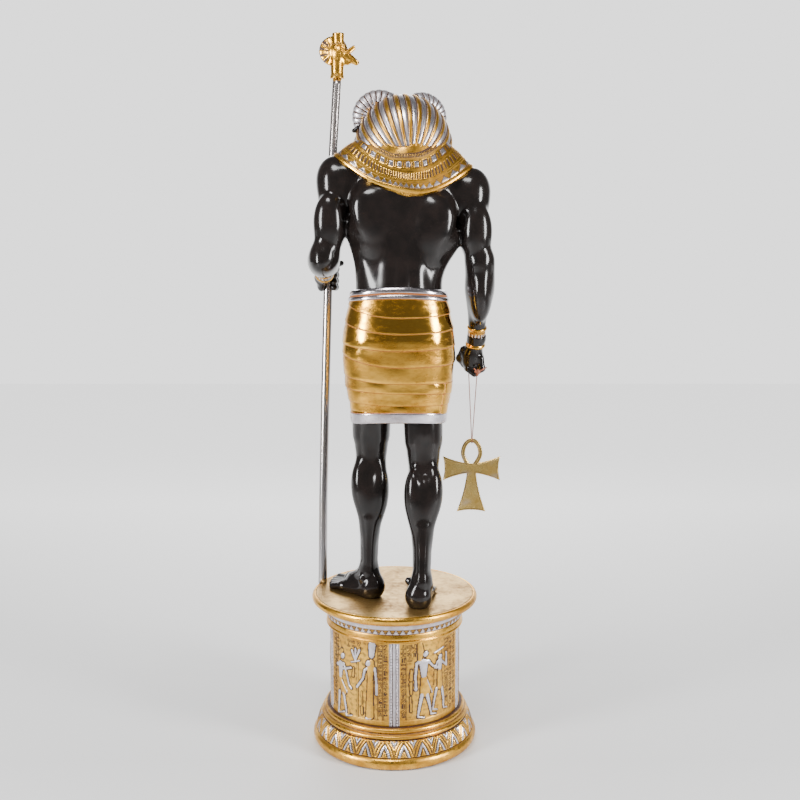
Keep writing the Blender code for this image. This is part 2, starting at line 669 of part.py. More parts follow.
def smooth_run(points, spacing):
    """Points read every spacing or so from a smooth curve through the given ones."""
    pts = [np.array(p, float) for p in points]
    out = []
    for i in range(len(pts) - 1):
        p0, p1, p2, p3 = pts[max(i - 1, 0)], pts[i], pts[i + 1], pts[min(i + 2, len(pts) - 1)]
        chord = np.linalg.norm(p2 - p1)
        m1 = (p2 - p0) / max(np.linalg.norm(p2 - p1) + np.linalg.norm(p1 - p0), 1e-9) * chord
        m2 = (p3 - p1) / max(np.linalg.norm(p3 - p2) + np.linalg.norm(p2 - p1), 1e-9) * chord
        count = max(1, round(chord / spacing))
        for j in range(count):
            t = j / count
            out.append(p1 * (2 * t ** 3 - 3 * t ** 2 + 1) + m1 * (t ** 3 - 2 * t ** 2 + t)
                       + p2 * (3 * t ** 2 - 2 * t ** 3) + m2 * (t ** 3 - t ** 2))
    return [Vector(p) for p in out + [pts[-1]]]


def cord_route():
    """Points from the fist, under the ring's top bar, up to the knot on the knuckles."""
    bar_low = AZ + RING_TOP - RING_BAR / 2
    low = bar_low - CORD_R - 0.0004
    half, bend = ANKH_THICK / 2 - 0.0037, 0.0047 + CORD_R
    turn = []
    for side in (-1, 1):
        for i in range(4):
            a = math.radians(30 * i if side < 0 else 90 - 30 * i)
            turn.append((AX - 0.0005 - side * 0.0003, AY + side * (half + bend * math.cos(a)),
                         low + bend - bend * math.sin(a)))
    first = turn[0]
    last = turn[-1]
    start, end = [tuple(c * K for c in p) for p in ((-0.2477, -0.0390, 0.7520), (-0.2712, 0.0212, 0.7369))]
    blend = lambda p, q, t: tuple(u + (v - u) * t for u, v in zip(p, q))
    lead_in = (first[0] + 0.0004, first[1] - 0.0001, first[2] + 0.012)
    lead_out = (last[0] - 0.0004, last[1] + 0.0012, last[2] + 0.012)
    through = ([start, blend(start, lead_in, 0.35), blend(start, lead_in, 0.7), lead_in] + turn
               + [lead_out, blend(lead_out, end, 0.3), blend(lead_out, end, 0.65), end])
    return [p + Vector((0, 0, PLINTH_HEIGHT)) for p in smooth_run(through, 3 * CORD_DIAMETER)]


KNOT = np.array([-0.2722, 0.0226, 0.7500]) * K + np.array([0.0, 0.0, 0.0131 * (1 - K)])


def knot_parts():
    k = KNOT
    return [
        cone(k + (0, 0, -0.0078), k + (-0.002, 0.002, 0.006), 0.0046, 0.0052, 0.004),
        cone(k + (-0.007, 0.001, 0.000), k + (0.006, 0.002, 0.003), 0.0040, 0.0040, 0.003),
        cone(k + (-0.004, 0.002, 0.004), k + (-0.018, 0.002, 0.010), 0.0026, 0.0024, 0.002),
        cone(k + (-0.018, 0.002, 0.010), k + (-0.030, -0.003, 0.016), 0.0024, 0.0022, 0.002),
        cone(k + (0.003, 0.002, 0.004), k + (0.010, 0.002, 0.013), 0.0025, 0.0022, 0.002),
    ]


def strip_offset(angle):
    """Degrees from the middle of the nearest strip; one strip is at the back, on +Y."""
    pitch = 360 / STRIPS
    return abs((angle - 90 + pitch / 2) % pitch - pitch / 2)


def plinth():
    """Turned plinth: torus foot, leaf band, two mouldings, straight drum with strips, flared cornice, rim."""
    t, d, b = TOP_RADIUS - 0.280, DRUM_RADIUS - 0.221, BASE_RADIUS - 0.280
    h = PLINTH_HEIGHT
    profile = [
        (0.2660 + b, 0.0000, ''), (0.2785 + b, 0.0085, ''), (0.2800 + b, 0.0220, ''), (0.2680 + b, 0.0405, ''),
        (0.2670 + b, 0.0450, 'leaf'), (0.2610 + b, 0.0780, 'leaf'), (0.2520 + b, 0.0905, ''),
        (0.2490 + b, 0.1050, ''), (0.2405 + b, 0.1090, ''), (0.2330 + d, 0.1255, ''),
        (DRUM_RADIUS, 0.1280, 'strip'), (DRUM_RADIUS, h - 0.1030, 'strip'), (0.2305 + d, h - 0.1015, ''),
        (0.2326 + d, h - 0.0960, ''), (0.2318 + d, h - 0.0800, ''), (0.2285 + d, h - 0.0735, ''),
        (0.2300 + d, h - 0.0575, ''), (0.2355 + d, h - 0.0420, ''), (0.2745 + t, h - 0.0245, ''),
        (TOP_RADIUS, h - 0.0175, ''), (TOP_RADIUS, h - 0.0100, ''), (0.2768 + t, h - 0.0030, ''), (0.2680 + t, h, ''),
    ]
    step = 360 / (2 * LEAVES)
    edges = [(90 + q * 360 / STRIPS + s * STRIP_HALF) % 360 for q in range(STRIPS) for s in (-1, 1)]
    rings = []
    for r, z, kind in profile:
        ring = []
        for angle in sorted([j * step for j in range(2 * LEAVES)] + edges):
            extra = 0.0
            if kind == 'strip' and strip_offset(angle) < STRIP_HALF + 0.01:
                extra = STRIP_PROUD
            if kind == 'leaf':
                extra = 0.006 * abs((angle / step) % 2 - 1) - 0.002
            a = math.radians(angle)
            ring.append(((r + extra) * math.cos(a), (r + extra) * math.sin(a), z))
        rings.append(ring)
    return ring_solid("plinth", rings, material("gilt_plinth", (0.62, 0.43, 0.14), 0.9, 0.35))


def figure():
    parts = body_parts()
    lo, hi = (-0.345, -0.245, -0.030), (0.285, 0.245, 1.640)
    verts, quads = surface_net(parts, lo, hi, BODY_CELL)
    body = place("figure", [lift(v) for v in verts], quads, material("gloss_black", (0.012, 0.010, 0.010), 0.0, 0.15))
    reduce_faces(body, BODY_FACES)
    for other in (kilt(), collar(), headdress(), lappet(1), lappet(-1), horn(1), horn(-1),
                  cuff((-0.2705, 0.019, 0.902), (-0.2665, -0.006, 0.836)),
                  cuff((0.2325, -0.062, 1.0845), (0.2365, -0.125, 1.0680))):
        combine(body, other, 'UNION')
    reduce_faces(drop_crumbs(body), FIGURE_FACES)
    combine(body, staff_bar("channel", STAFF_DIAMETER / 2 + 0.0006), 'DIFFERENCE')
    route = cord_route()
    way = (route[0] - route[1]).normalized()
    pocket = tube("pocket", [route[0] - way * 0.030, route[0] + way * (2 * GAP)], CORD_R + 2 * GAP, 10)
    combine(body, pocket, 'DIFFERENCE')
    return drop_crumbs(combine(body, slab(PLINTH_HEIGHT + GAP), 'DIFFERENCE'))


def slab(top, low=-0.2):
    """Block cutting away what is between low and 0 under a height, or over it for a positive low."""
    corners = [(-0.45, -0.45), (0.45, -0.45), (0.45, 0.45), (-0.45, 0.45)]
    return ring_solid("slab", [[(x, y, z) for x, y in corners] for z in sorted((top + low, top))])


def staff_rod():
    return staff_bar("staff_rod", STAFF_DIAMETER / 2, material("steel_tube", (0.55, 0.53, 0.52), 1.0, 0.25))


def finial_parts():
    f = FINIAL_HEIGHT / 0.148
    at = lambda x, y, z: (TIP[0] + x * f, TIP[1] + y * f, z * f)
    parts = [
        cone(at(0, 0, -0.010), at(0, 0, 0.0010), 0.0240, 0.0236, 0.002),
        cone(at(0, 0, -0.004), at(-0.001, 0, 0.056), 0.0218, 0.0226, 0.004),
        blob(at(-0.003, 0, 0.088), (0.0290, 0.0235, 0.0320), k=0.010),
        cone(at(-0.010, 0, 0.086), at(-0.046, 0, 0.065), 0.0225, 0.0130, 0.008),
        cone(at(-0.046, 0, 0.065), at(-0.0655, 0, 0.053), 0.0128, 0.0098, 0.005),
        cone(at(-0.004, 0, 0.062), at(-0.036, 0, 0.052), 0.0150, 0.0080, 0.008),
        cone(at(-0.0047, 0, 0.110), at(-0.0047, 0, 0.160), 0.0196, 0.0214, 0.004),
        blob(at(0.0118, 0, 0.0905), (0.0485, 0.0105, 0.0485), k=0.003),
        blob(at(0.0118, 0, 0.0905), (0.0330, 0.0150, 0.0330), k=0.004),
    ]
    for s in (1, -1):
        parts.append(cone(at(-0.034, s * 0.013, 0.084), at(-0.058, s * 0.019, 0.102), 0.0075, 0.0045, 0.005))
        ring = [at(-0.010 + 0.0155 * math.cos(a), s * 0.0215, 0.096 + 0.0155 * math.sin(a))
                for a in [math.radians(v) for v in (210, 150, 90, 30, -30, -90)]]
        for n, (a, b) in enumerate(zip(ring, ring[1:])):
            parts.append(cone(a, b, 0.0050 - 0.0004 * n, 0.0046 - 0.0004 * n, 0.002))
    # the round disc on the neck side is the mane
    return parts


def staff_finial():
    parts = finial_parts()
    f = FINIAL_HEIGHT / 0.148
    lo, hi = [np.array([TIP[0] + x * f, TIP[1] + y * f, z * f]) for x, y, z in ((-0.090, -0.049, -0.030), (0.075, 0.051, 0.190))]
    verts, quads = surface_net(parts, lo, hi, 0.0042)
    base = np.array([0.0, 0.0, PLINTH_HEIGHT + GAP * 2 + TIP[2]])
    body = place("staff_finial", verts + base, quads, material("gilt_finial", (0.70, 0.47, 0.16), 1.0, 0.30))
    reduce_faces(body, 600)
    combine(body, slab(base[2]), 'DIFFERENCE')
    return combine(body, slab(base[2] + FINIAL_HEIGHT, 0.2), 'DIFFERENCE')


def plate(name, outline, centre, turn):
    """Chamfered plate in the plane of the ankh, its outline given along and across one arm."""
    rows = []
    t = ANKH_THICK / 2
    for y, inset in ((-t, 0.0022), (-t + 0.0022, 0.0), (t - 0.0022, 0.0), (t, 0.0022)):
        ring = []
        mid = np.mean(np.array(outline), axis=0)
        for a, b in outline:
            way = np.array([a, b]) - mid
            way = way / np.linalg.norm(way)
            a2, b2 = a - way[0] * inset, b - way[1] * inset
            x = a2 * math.cos(turn) - b2 * math.sin(turn)
            z = a2 * math.sin(turn) + b2 * math.cos(turn)
            ring.append((centre[0] + x, AY + y, centre[1] + z))
        rows.append(ring)
    return ring_solid(name, rows)


def arm_outline(length, root, tip, back):
    shares = (0.0, 0.45, 0.80, 1.0)
    upper = [(-back, root)] + [(length * s, root + (tip - root) * s ** 1.7) for s in shares[1:]]
    end = [(length - 0.0045, tip * 0.45), (length - 0.0060, 0.0), (length - 0.0045, -tip * 0.45)]
    return upper + end + [(a, -b) for a, b in reversed(upper)]


def ankh():
    z = PLINTH_HEIGHT + AZ
    span = ANKH_SPAN / 2
    body = plate("ankh", arm_outline(span, 0.0165, 0.042, 0.010), (AX, z), 0.0)
    combine(body, plate("arm", arm_outline(span, 0.0165, 0.042, 0.010), (AX, z), math.pi), 'UNION')
    combine(body, plate("foot", arm_outline(0.150, 0.0150, 0.049, 0.010), (AX, z), -math.pi / 2), 'UNION')
    rows = []
    t = ANKH_THICK / 2
    for i in range(20):
        a = 2 * math.pi * i / 20
        pinch = 1.0 - 0.42 * max(0.0, -math.cos(a)) ** 1.4
        x, up = math.sin(a) * 0.0292 * pinch, RING_TOP - 0.0450 + math.cos(a) * 0.0450
        way = np.array([math.sin(a) / 0.0292, math.cos(a) / 0.0450])
        way = way / np.linalg.norm(way)
        ring = []
        b = RING_BAR / 2
        for off, y in ((b, t - 0.0034), (b - 0.0034, t), (0.0034 - b, t), (-b, t - 0.0034),
                       (-b, 0.0034 - t), (0.0034 - b, -t), (b - 0.0034, -t), (b, 0.0034 - t)):
            ring.append((AX + x + way[0] * off, AY + y, z + up + way[1] * off))
        rows.append(ring)
    combine(body, ring_solid("ring", rows, around=True), 'UNION')
    body.data.materials.clear()
    body.data.materials.append(material("gilt_ankh", (0.66, 0.50, 0.20), 1.0, 0.35))
    return body


def ankh_cord():
    curve = bpy.data.curves.new("ankh_cord", 'CURVE')
    curve.dimensions = '3D'
    curve.bevel_depth = CORD_R
    curve.bevel_resolution = 2
    curve.use_fill_caps = True
    curve.render_resolution_u = 0
    route = cord_route()
    line = curve.splines.new('POLY')
    line.points.add(len(route) - 1)
    for i, p in enumerate(route):
        line.points[i].co = (p.x, p.y, p.z, 1.0)
    curve.materials.append(material("cord_leather", (0.16, 0.06, 0.04), 0.0, 0.8))
    body = bpy.data.objects.new("ankh_cord", curve)
    group.objects.link(body)
    return body


def cord_knot():
    verts, quads = surface_net(knot_parts(), KNOT - 0.042, KNOT + 0.034, 0.0014)
    base = np.array([0.0, 0.0, PLINTH_HEIGHT + GAP])
    body = place("cord_knot", verts + base, quads, material("knot_leather", (0.30, 0.13, 0.09), 0.0, 0.8))
    return reduce_faces(body, 240)


plinth()
figure()
staff_rod()
staff_finial()
ankh()
ankh_cord()
cord_knot()
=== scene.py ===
# %% [markdown]
# # A ram-headed statue in black and gold
# The statue is cast resin: gloss black skin, dress in gold and silver leaf with brown rubbed into the
# hollows, on a turned plinth with carved panels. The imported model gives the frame: every piece made here
# sits where its CAD solid is, in metres, with the figure looking toward -Y.

# %% Load the frame
import json
import math

import bpy
import numpy as np
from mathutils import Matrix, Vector

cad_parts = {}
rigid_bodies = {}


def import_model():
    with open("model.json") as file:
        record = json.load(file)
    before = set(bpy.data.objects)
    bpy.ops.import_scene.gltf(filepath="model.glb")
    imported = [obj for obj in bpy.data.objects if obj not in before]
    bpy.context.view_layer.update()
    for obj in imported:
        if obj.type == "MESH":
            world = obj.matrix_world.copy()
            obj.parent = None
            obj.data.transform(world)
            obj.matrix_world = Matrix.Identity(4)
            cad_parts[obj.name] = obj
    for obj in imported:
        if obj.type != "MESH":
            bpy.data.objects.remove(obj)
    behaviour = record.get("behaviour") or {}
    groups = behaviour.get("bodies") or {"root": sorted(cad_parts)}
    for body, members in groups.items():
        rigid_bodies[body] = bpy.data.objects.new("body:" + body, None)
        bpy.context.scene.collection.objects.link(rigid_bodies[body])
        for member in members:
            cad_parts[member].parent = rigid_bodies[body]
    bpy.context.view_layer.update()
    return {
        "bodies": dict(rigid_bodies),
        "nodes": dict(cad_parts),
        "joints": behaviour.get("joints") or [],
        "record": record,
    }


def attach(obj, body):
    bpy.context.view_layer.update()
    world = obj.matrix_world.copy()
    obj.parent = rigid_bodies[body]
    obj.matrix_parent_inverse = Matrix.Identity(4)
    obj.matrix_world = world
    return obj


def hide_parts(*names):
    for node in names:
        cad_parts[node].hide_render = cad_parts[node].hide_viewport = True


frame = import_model()
print("nodes:", sorted(frame["nodes"]))

# %% [markdown]
# ## Camera first
# The photograph was taken from behind, at eye height and a little downward. The lens and distance were
# worked out from the ellipses of the round plinth, so the camera is placed by numbers.

# %% Camera
camera_data = bpy.data.cameras.new("camera")
camera_data.lens = 48.0
camera_data.sensor_width = 36.0
camera = bpy.data.objects.new("camera", camera_data)
camera.location = (-0.0187, 3.499, 1.702)
camera.rotation_euler = (math.radians(90 - 8.62), 0.0, math.radians(180))
bpy.context.scene.collection.objects.link(camera)
bpy.context.scene.camera = camera
print("camera looks down by 8.62 degrees from", tuple(camera.location))

# %% [markdown]
# ## Meshes from arrays
# Most pieces are grids of points worked out by a formula. One helper turns rows of points into a closed,
# smooth mesh and can store a number on every point, such as how silvered or how dirty it is. The
# materials read those numbers back by name.

# %% Helpers that build meshes
PLINTH_HEIGHT = 0.516
GAP = 0.0003


def lift(p):
    """From heights above the plinth top to the statue's frame."""
    return np.asarray(p, float) + np.array([0.0, 0.0, PLINTH_HEIGHT + GAP])


def piece_from(name, verts, quads, mat, node, marks=None, tris=None):
    verts, quads = np.asarray(verts, float), np.asarray(quads, int).reshape(-1, 4)
    tris = np.asarray([] if tris is None else tris, int).reshape(-1, 3)
    v = verts[quads]
    fans = (np.cross(v[:, 1], v[:, 2]), np.cross(v[:, 2], v[:, 3]))
    size = sum(np.einsum('ij,ij->', v[:, 0], fan) for fan in fans)
    if size < 0:
        quads, tris = quads[:, ::-1], tris[:, ::-1]
    mesh = bpy.data.meshes.new(name)
    mesh.vertices.add(len(verts))
    mesh.vertices.foreach_set("co", verts.astype(np.float32).ravel())
    corners = np.concatenate([quads.ravel(), tris.ravel()]).astype(np.int32)
    starts = np.concatenate([np.arange(len(quads)) * 4, len(quads) * 4 + np.arange(len(tris)) * 3])
    starts = starts.astype(np.int32)
    mesh.loops.add(len(corners))
    mesh.loops.foreach_set("vertex_index", corners)
    mesh.polygons.add(len(starts))
    mesh.polygons.foreach_set("loop_start", starts)
    mesh.update(calc_edges=True)
    mesh.validate()
    mesh.polygons.foreach_set("use_smooth", np.ones(len(mesh.polygons), bool))
    for mark, values in (marks or {}).items():
        layer = mesh.attributes.new(mark, 'FLOAT', 'POINT')
        layer.data.foreach_set("value", np.asarray(values, np.float32).ravel())
    mesh.materials.append(mat)
    piece = bpy.data.objects.new(name, mesh)
    bpy.context.scene.collection.objects.link(piece)
    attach(piece, "root")
    if node:
        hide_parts(node)
    print(name, "made of", len(quads) * 2 + len(tris), "triangles")
    return piece


def wrap_rows(rows, closed=True, around=False):
    """Quads and end fans for rows of points; around joins the last row to the first."""
    rows = np.asarray(rows, float)
    n, m = rows.shape[:2]
    verts = rows.reshape(-1, 3)
    i, j = np.meshgrid(np.arange(n if around else n - 1), np.arange(m if closed else m - 1), indexing='ij')
    i2, j2 = (i + 1) % n, (j + 1) % m
    quads = np.stack([i * m + j, i * m + j2, i2 * m + j2, i2 * m + j], axis=-1).reshape(-1, 4)
    tris = []
    if closed and not around:
        verts = np.vstack([verts, rows[0].mean(0), rows[-1].mean(0)])
        k = np.arange(m)
        tris = np.vstack([np.stack([(k + 1) % m, k, np.full(m, n * m)], 1),
                          np.stack([(n - 1) * m + k, (n - 1) * m + (k + 1) % m, np.full(m, n * m + 1)], 1)])
    return verts, quads, tris


def turned(name, rows, mat, node, marks=None, around=False):
    verts, quads, tris = wrap_rows(rows, True, around)
    if marks and not around:
        flat = {k: np.asarray(v, float) for k, v in marks.items()}
        marks = {k: np.concatenate([v.ravel(), [v[0].mean(), v[-1].mean()]]) for k, v in flat.items()}
    return piece_from(name, verts, quads, mat, node, marks, tris)


def ramp(x, a, b):
    t = np.clip((x - a) / (b - a), 0.0, 1.0)
    return t * t * (3 - 2 * t)


def grain(p, scale, seed=0.0):
    """Soft repeatable unevenness from a few crossed waves."""
    p = np.asarray(p, float) * scale + seed
    x, y, z = p[..., 0], p[..., 1], p[..., 2]
    return (np.sin(x * 1.7 + 1.3 * np.sin(y * 1.1 + seed)) + np.sin(y * 2.3 + 1.1 * np.sin(z * 1.9)) +
            np.sin(z * 2.9 + 1.7 * np.sin(x * 1.3 + y))) / 3.0

# %% [markdown]
# ## Finishes
# Gold leaf is never one colour: it is pale where it is rubbed, orange where the bole shows and brown in
# the hollows. Two shader groups hold what the finishes share. `leaf` mottles a bright and a deep colour
# and gives a fine height; `rubbed_hollow` turns the stored dirt into a ragged brown mask.

# %% Shader groups
def new_group(name, inputs, outputs):
    group = bpy.data.node_groups.new(name, 'ShaderNodeTree')
    for label, kind, value in inputs:
        sock = group.interface.new_socket(name=label, in_out='INPUT', socket_type=kind)
        sock.default_value = value
    for label, kind in outputs:
        group.interface.new_socket(name=label, in_out='OUTPUT', socket_type=kind)
    nodes = group.nodes
    return group, nodes.new('NodeGroupInput'), nodes.new('NodeGroupOutput')


def add(tree, kind, **values):
    node = tree.nodes.new(kind)
    for key, value in values.items():
        if hasattr(node, key):
            setattr(node, key, value)
    return node


def noise(tree, coords, scale, detail=3.0, rough=0.55, stretch=None):
    if stretch:
        mapping = add(tree, 'ShaderNodeMapping')
        mapping.inputs['Scale'].default_value = stretch
        tree.links.new(coords, mapping.inputs['Vector'])
        coords = mapping.outputs['Vector']
    node = add(tree, 'ShaderNodeTexNoise')
    node.inputs['Scale'].default_value = scale
    node.inputs['Detail'].default_value = detail
    node.inputs['Roughness'].default_value = rough
    tree.links.new(coords, node.inputs['Vector'])
    return node.outputs['Fac']


def math_node(tree, kind, a, b=None, clamp=False):
    node = add(tree, 'ShaderNodeMath', operation=kind, use_clamp=clamp)
    for i, v in enumerate((a, b)):
        if v is None:
            continue
        if isinstance(v, (int, float)):
            node.inputs[i].default_value = v
        else:
            tree.links.new(v, node.inputs[i])
    return node.outputs[0]


def times(tree, a, b):
    return math_node(tree, 'MULTIPLY', a, b)


def plus(tree, a, b, clamp=False):
    return math_node(tree, 'ADD', a, b, clamp)


def spread(tree, value, low, high):
    node = add(tree, 'ShaderNodeMapRange', clamp=True)
    tree.links.new(value, node.inputs['Value'])
    node.inputs['From Min'].default_value = low
    node.inputs['From Max'].default_value = high
    return node.outputs['Result']


def mix(tree, share, a, b):
    node = add(tree, 'ShaderNodeMix', data_type='RGBA')
    for sock, v in ((node.inputs[0], share), (node.inputs[6], a), (node.inputs[7], b)):
        if isinstance(v, (int, float)):
            sock.default_value = v
        elif isinstance(v, tuple):
            sock.default_value = (*v, 1.0)
        else:
            tree.links.new(v, sock)
    return node.outputs[2]


leaf, gin, gout = new_group("leaf", [("Bright", 'NodeSocketColor', (0.9, 0.7, 0.3, 1)),
                                     ("Deep", 'NodeSocketColor', (0.5, 0.3, 0.08, 1)),
                                     ("Vector", 'NodeSocketVector', (0, 0, 0)),
                                     ("Smooth", 'NodeSocketFloat', 0.22), ("Worn", 'NodeSocketFloat', 0.45)],
                            [("Color", 'NodeSocketColor'), ("Roughness", 'NodeSocketFloat'),
                             ("Height", 'NodeSocketFloat')])
broad = noise(leaf, gin.outputs["Vector"], 9.0, 4.0)
fine = noise(leaf, gin.outputs["Vector"], 60.0, 5.0, 0.65)
speck = noise(leaf, gin.outputs["Vector"], 420.0, 2.0)
blot = spread(leaf, plus(leaf, times(leaf, broad, 0.6), times(leaf, fine, 0.4)), 0.40, 0.64)
leaf.links.new(mix(leaf, blot, gin.outputs["Bright"], gin.outputs["Deep"]), gout.inputs["Color"])
rough = plus(leaf, gin.outputs["Smooth"], times(leaf, times(leaf, fine, blot), gin.outputs["Worn"]))
leaf.links.new(rough, gout.inputs["Roughness"])
leaf.links.new(plus(leaf, times(leaf, fine, 0.7), times(leaf, speck, 0.3)), gout.inputs["Height"])

hollow, hin, hout = new_group("rubbed_hollow", [("Dirt", 'NodeSocketFloat', 0.0),
                                                ("Vector", 'NodeSocketVector', (0, 0, 0)),
                                                ("Spread", 'NodeSocketFloat', 0.5)],
                              [("Mask", 'NodeSocketFloat')])
ragged = noise(hollow, hin.outputs["Vector"], 130.0, 4.0, 0.7)
uneven = times(hollow, math_node(hollow, 'SUBTRACT', ragged, 0.5), hin.outputs["Spread"])
edge = plus(hollow, hin.outputs["Dirt"], uneven)
hollow.links.new(spread(hollow, edge, 0.30, 0.72), hout.inputs["Mask"])
print("shader groups:", [g.name for g in bpy.data.node_groups])

# %% [markdown]
# The dress material mixes a gold and a silver leaf by the stored `tone` and lays brown over both by the
# stored `dirt`. Brown is paint, so the metal fades out under it.

# %% Gilded and silvered dress
GOLD, GOLD_DEEP = (0.86, 0.47, 0.070), (0.46, 0.21, 0.022)
SILVER, SILVER_DEEP = (0.72, 0.69, 0.74), (0.46, 0.41, 0.42)
BROWN = (0.040, 0.014, 0.005)


def attribute(tree, name):
    node = add(tree, 'ShaderNodeAttribute')
    node.attribute_name = name
    return node.outputs['Fac']


def gilded(name, smooth=0.20, worn=0.45, gold=GOLD, deep=GOLD_DEEP, silver=SILVER, silver_deep=SILVER_DEEP,
           bump=0.12, ragged_share=0.5, scale=1.0, metal=1.0, brown=BROWN, stretch=None):
    mat = bpy.data.materials.new(name)
    mat.use_nodes = True
    tree = mat.node_tree
    shader = tree.nodes["Principled BSDF"]
    coords = add(tree, 'ShaderNodeTexCoord').outputs['Object']
    if scale != 1.0 or stretch:
        mapping = add(tree, 'ShaderNodeMapping')
        mapping.inputs['Scale'].default_value = stretch or (scale, scale, scale)
        tree.links.new(coords, mapping.inputs['Vector'])
        coords = mapping.outputs['Vector']
    leaves = []
    for bright, dark in ((gold, deep), (silver, silver_deep)):
        node = add(tree, 'ShaderNodeGroup', node_tree=leaf)
        node.inputs["Bright"].default_value = (*bright, 1)
        node.inputs["Deep"].default_value = (*dark, 1)
        node.inputs["Smooth"].default_value = smooth
        node.inputs["Worn"].default_value = worn
        tree.links.new(coords, node.inputs["Vector"])
        leaves.append(node)
    rub = add(tree, 'ShaderNodeGroup', node_tree=hollow)
    rub.inputs["Spread"].default_value = ragged_share
    tree.links.new(attribute(tree, "dirt"), rub.inputs["Dirt"])
    tree.links.new(coords, rub.inputs["Vector"])
    metal_colour = mix(tree, attribute(tree, "tone"), leaves[0].outputs["Color"], leaves[1].outputs["Color"])
    tree.links.new(mix(tree, rub.outputs["Mask"], metal_colour, brown), shader.inputs["Base Color"])
    painted = times(tree, rub.outputs["Mask"], 0.85 * metal)
    tree.links.new(math_node(tree, 'SUBTRACT', metal, painted, True), shader.inputs["Metallic"])
    dulled = times(tree, rub.outputs["Mask"], 0.25)
    tree.links.new(plus(tree, leaves[0].outputs["Roughness"], dulled, True), shader.inputs["Roughness"])
    bumps = add(tree, 'ShaderNodeBump')
    bumps.inputs['Strength'].default_value = bump
    bumps.inputs['Distance'].default_value = 0.0015
    tree.links.new(leaves[0].outputs["Height"], bumps.inputs['Height'])
    tree.links.new(bumps.outputs['Normal'], shader.inputs['Normal'])
    return mat


kilt_leaf = gilded("kilt_gold_leaf", smooth=0.10, worn=0.40, bump=0.22, ragged_share=0.25,
                   brown=(0.30, 0.085, 0.008), stretch=(0.75, 0.75, 1.5))
dress_leaf = gilded("headdress_leaf", smooth=0.24, worn=0.40, bump=0.10, ragged_share=0.6)
collar_leaf = gilded("collar_leaf", smooth=0.20, worn=0.40, bump=0.10, ragged_share=0.45)
horn_leaf = gilded("horn_silver", smooth=0.38, worn=0.30, bump=0.12, silver=(0.74, 0.72, 0.76))
plinth_leaf = gilded("plinth_gold", smooth=0.22, worn=0.45, bump=0.12, ragged_share=0.5)
panel_leaf = gilded("panel_gold", smooth=0.38, worn=0.35, gold=(0.82, 0.47, 0.075),
                    deep=(0.46, 0.21, 0.025), bump=0.35, ragged_share=0.7)
top_leaf = gilded("plinth_top_bronze", smooth=0.36, worn=0.45, gold=(0.54, 0.35, 0.12),
                  deep=(0.30, 0.17, 0.055), bump=0.2)
trim_leaf = gilded("trim_gold", smooth=0.20, worn=0.40, bump=0.05, scale=1.5)
cross_leaf = gilded("cross_gold", smooth=0.18, worn=0.40, gold=(0.74, 0.53, 0.18),
                    deep=(0.48, 0.30, 0.08), bump=0.2)
print("dress finishes ready")

# %% [markdown]
# The skin is black lacquer with a warm cast: almost no colour, a hard clear coat, and just enough
# unevenness in the roughness that the highlights aren't cut with a knife.

# %% Black skin, steel and leather
def plain_material(name, colour, rough_low, rough_high, scale, metal=0.0, coat=0.0, bump=0.1,
                   colour2=None, stretch=None, distance=0.0008):
    mat = bpy.data.materials.new(name)
    mat.use_nodes = True
    tree = mat.node_tree
    shader = tree.nodes["Principled BSDF"]
    coords = add(tree, 'ShaderNodeTexCoord').outputs['Object']
    n = noise(tree, coords, scale, 4.0, 0.6, stretch)
    mottled = mix(tree, spread(tree, n, 0.35, 0.7), colour, colour2 or colour)
    tree.links.new(mottled, shader.inputs["Base Color"])
    r = math_node(tree, 'ADD', rough_low, math_node(tree, 'MULTIPLY', n, rough_high - rough_low))
    tree.links.new(r, shader.inputs["Roughness"])
    shader.inputs["Metallic"].default_value = metal
    shader.inputs["Coat Weight"].default_value = coat
    shader.inputs["Specular IOR Level"].default_value = 0.5 if metal else 0.32
    shader.inputs["Coat Roughness"].default_value = 0.06
    bumps = add(tree, 'ShaderNodeBump')
    bumps.inputs['Strength'].default_value = bump
    bumps.inputs['Distance'].default_value = distance
    tree.links.new(n, bumps.inputs['Height'])
    tree.links.new(bumps.outputs['Normal'], shader.inputs['Normal'])
    return mat


skin = plain_material("black_lacquer", (0.0065, 0.0052, 0.0048), 0.12, 0.22, 26.0, coat=0.12, bump=0.10,
                      colour2=(0.0120, 0.0085, 0.0075))
steel = plain_material("staff_steel", (0.62, 0.60, 0.62), 0.14, 0.34, 14.0, metal=1.0, bump=0.05,
                       colour2=(0.50, 0.44, 0.40), stretch=(1, 1, 0.15))
thong = plain_material("thong_leather", (0.30, 0.105, 0.060), 0.45, 0.75, 260.0, bump=0.5,
                       colour2=(0.20, 0.065, 0.040))
print("skin, steel and leather ready")

# %% [markdown]
# ## Carving flesh as a field
# A sculptor builds a body from masses and blends them. The same is done here with numbers: each muscle is
# an ellipsoid or a tapered bar that gives its distance to any point, neighbours are blended softly, and
# grooves are taken away. A net of quads is then laid where the blended distance is zero. Voxel remeshing
# would also work, but the field keeps fingers and creases sharper for the same number of faces.

# %% Field of soft solids
def smooth_min(a, b, k):
    h = np.maximum(k - np.abs(a - b), 0.0) / k
    return np.minimum(a, b) - h * h * k * 0.25


def cone(a, b, ra, rb, k=0.02, carve=False):
    a, b = np.array(a, float), np.array(b, float)
    lo = np.minimum(a - ra, b - rb) - 0.055
    hi = np.maximum(a + ra, b + rb) + 0.055

    def dist(p):
        ab = b - a
        t = np.clip((p - a) @ ab / (ab @ ab), 0.0, 1.0)
        return np.linalg.norm(p - a - t[:, None] * ab, axis=1) - (ra + (rb - ra) * t)
    return dist, lo, hi, k, carve


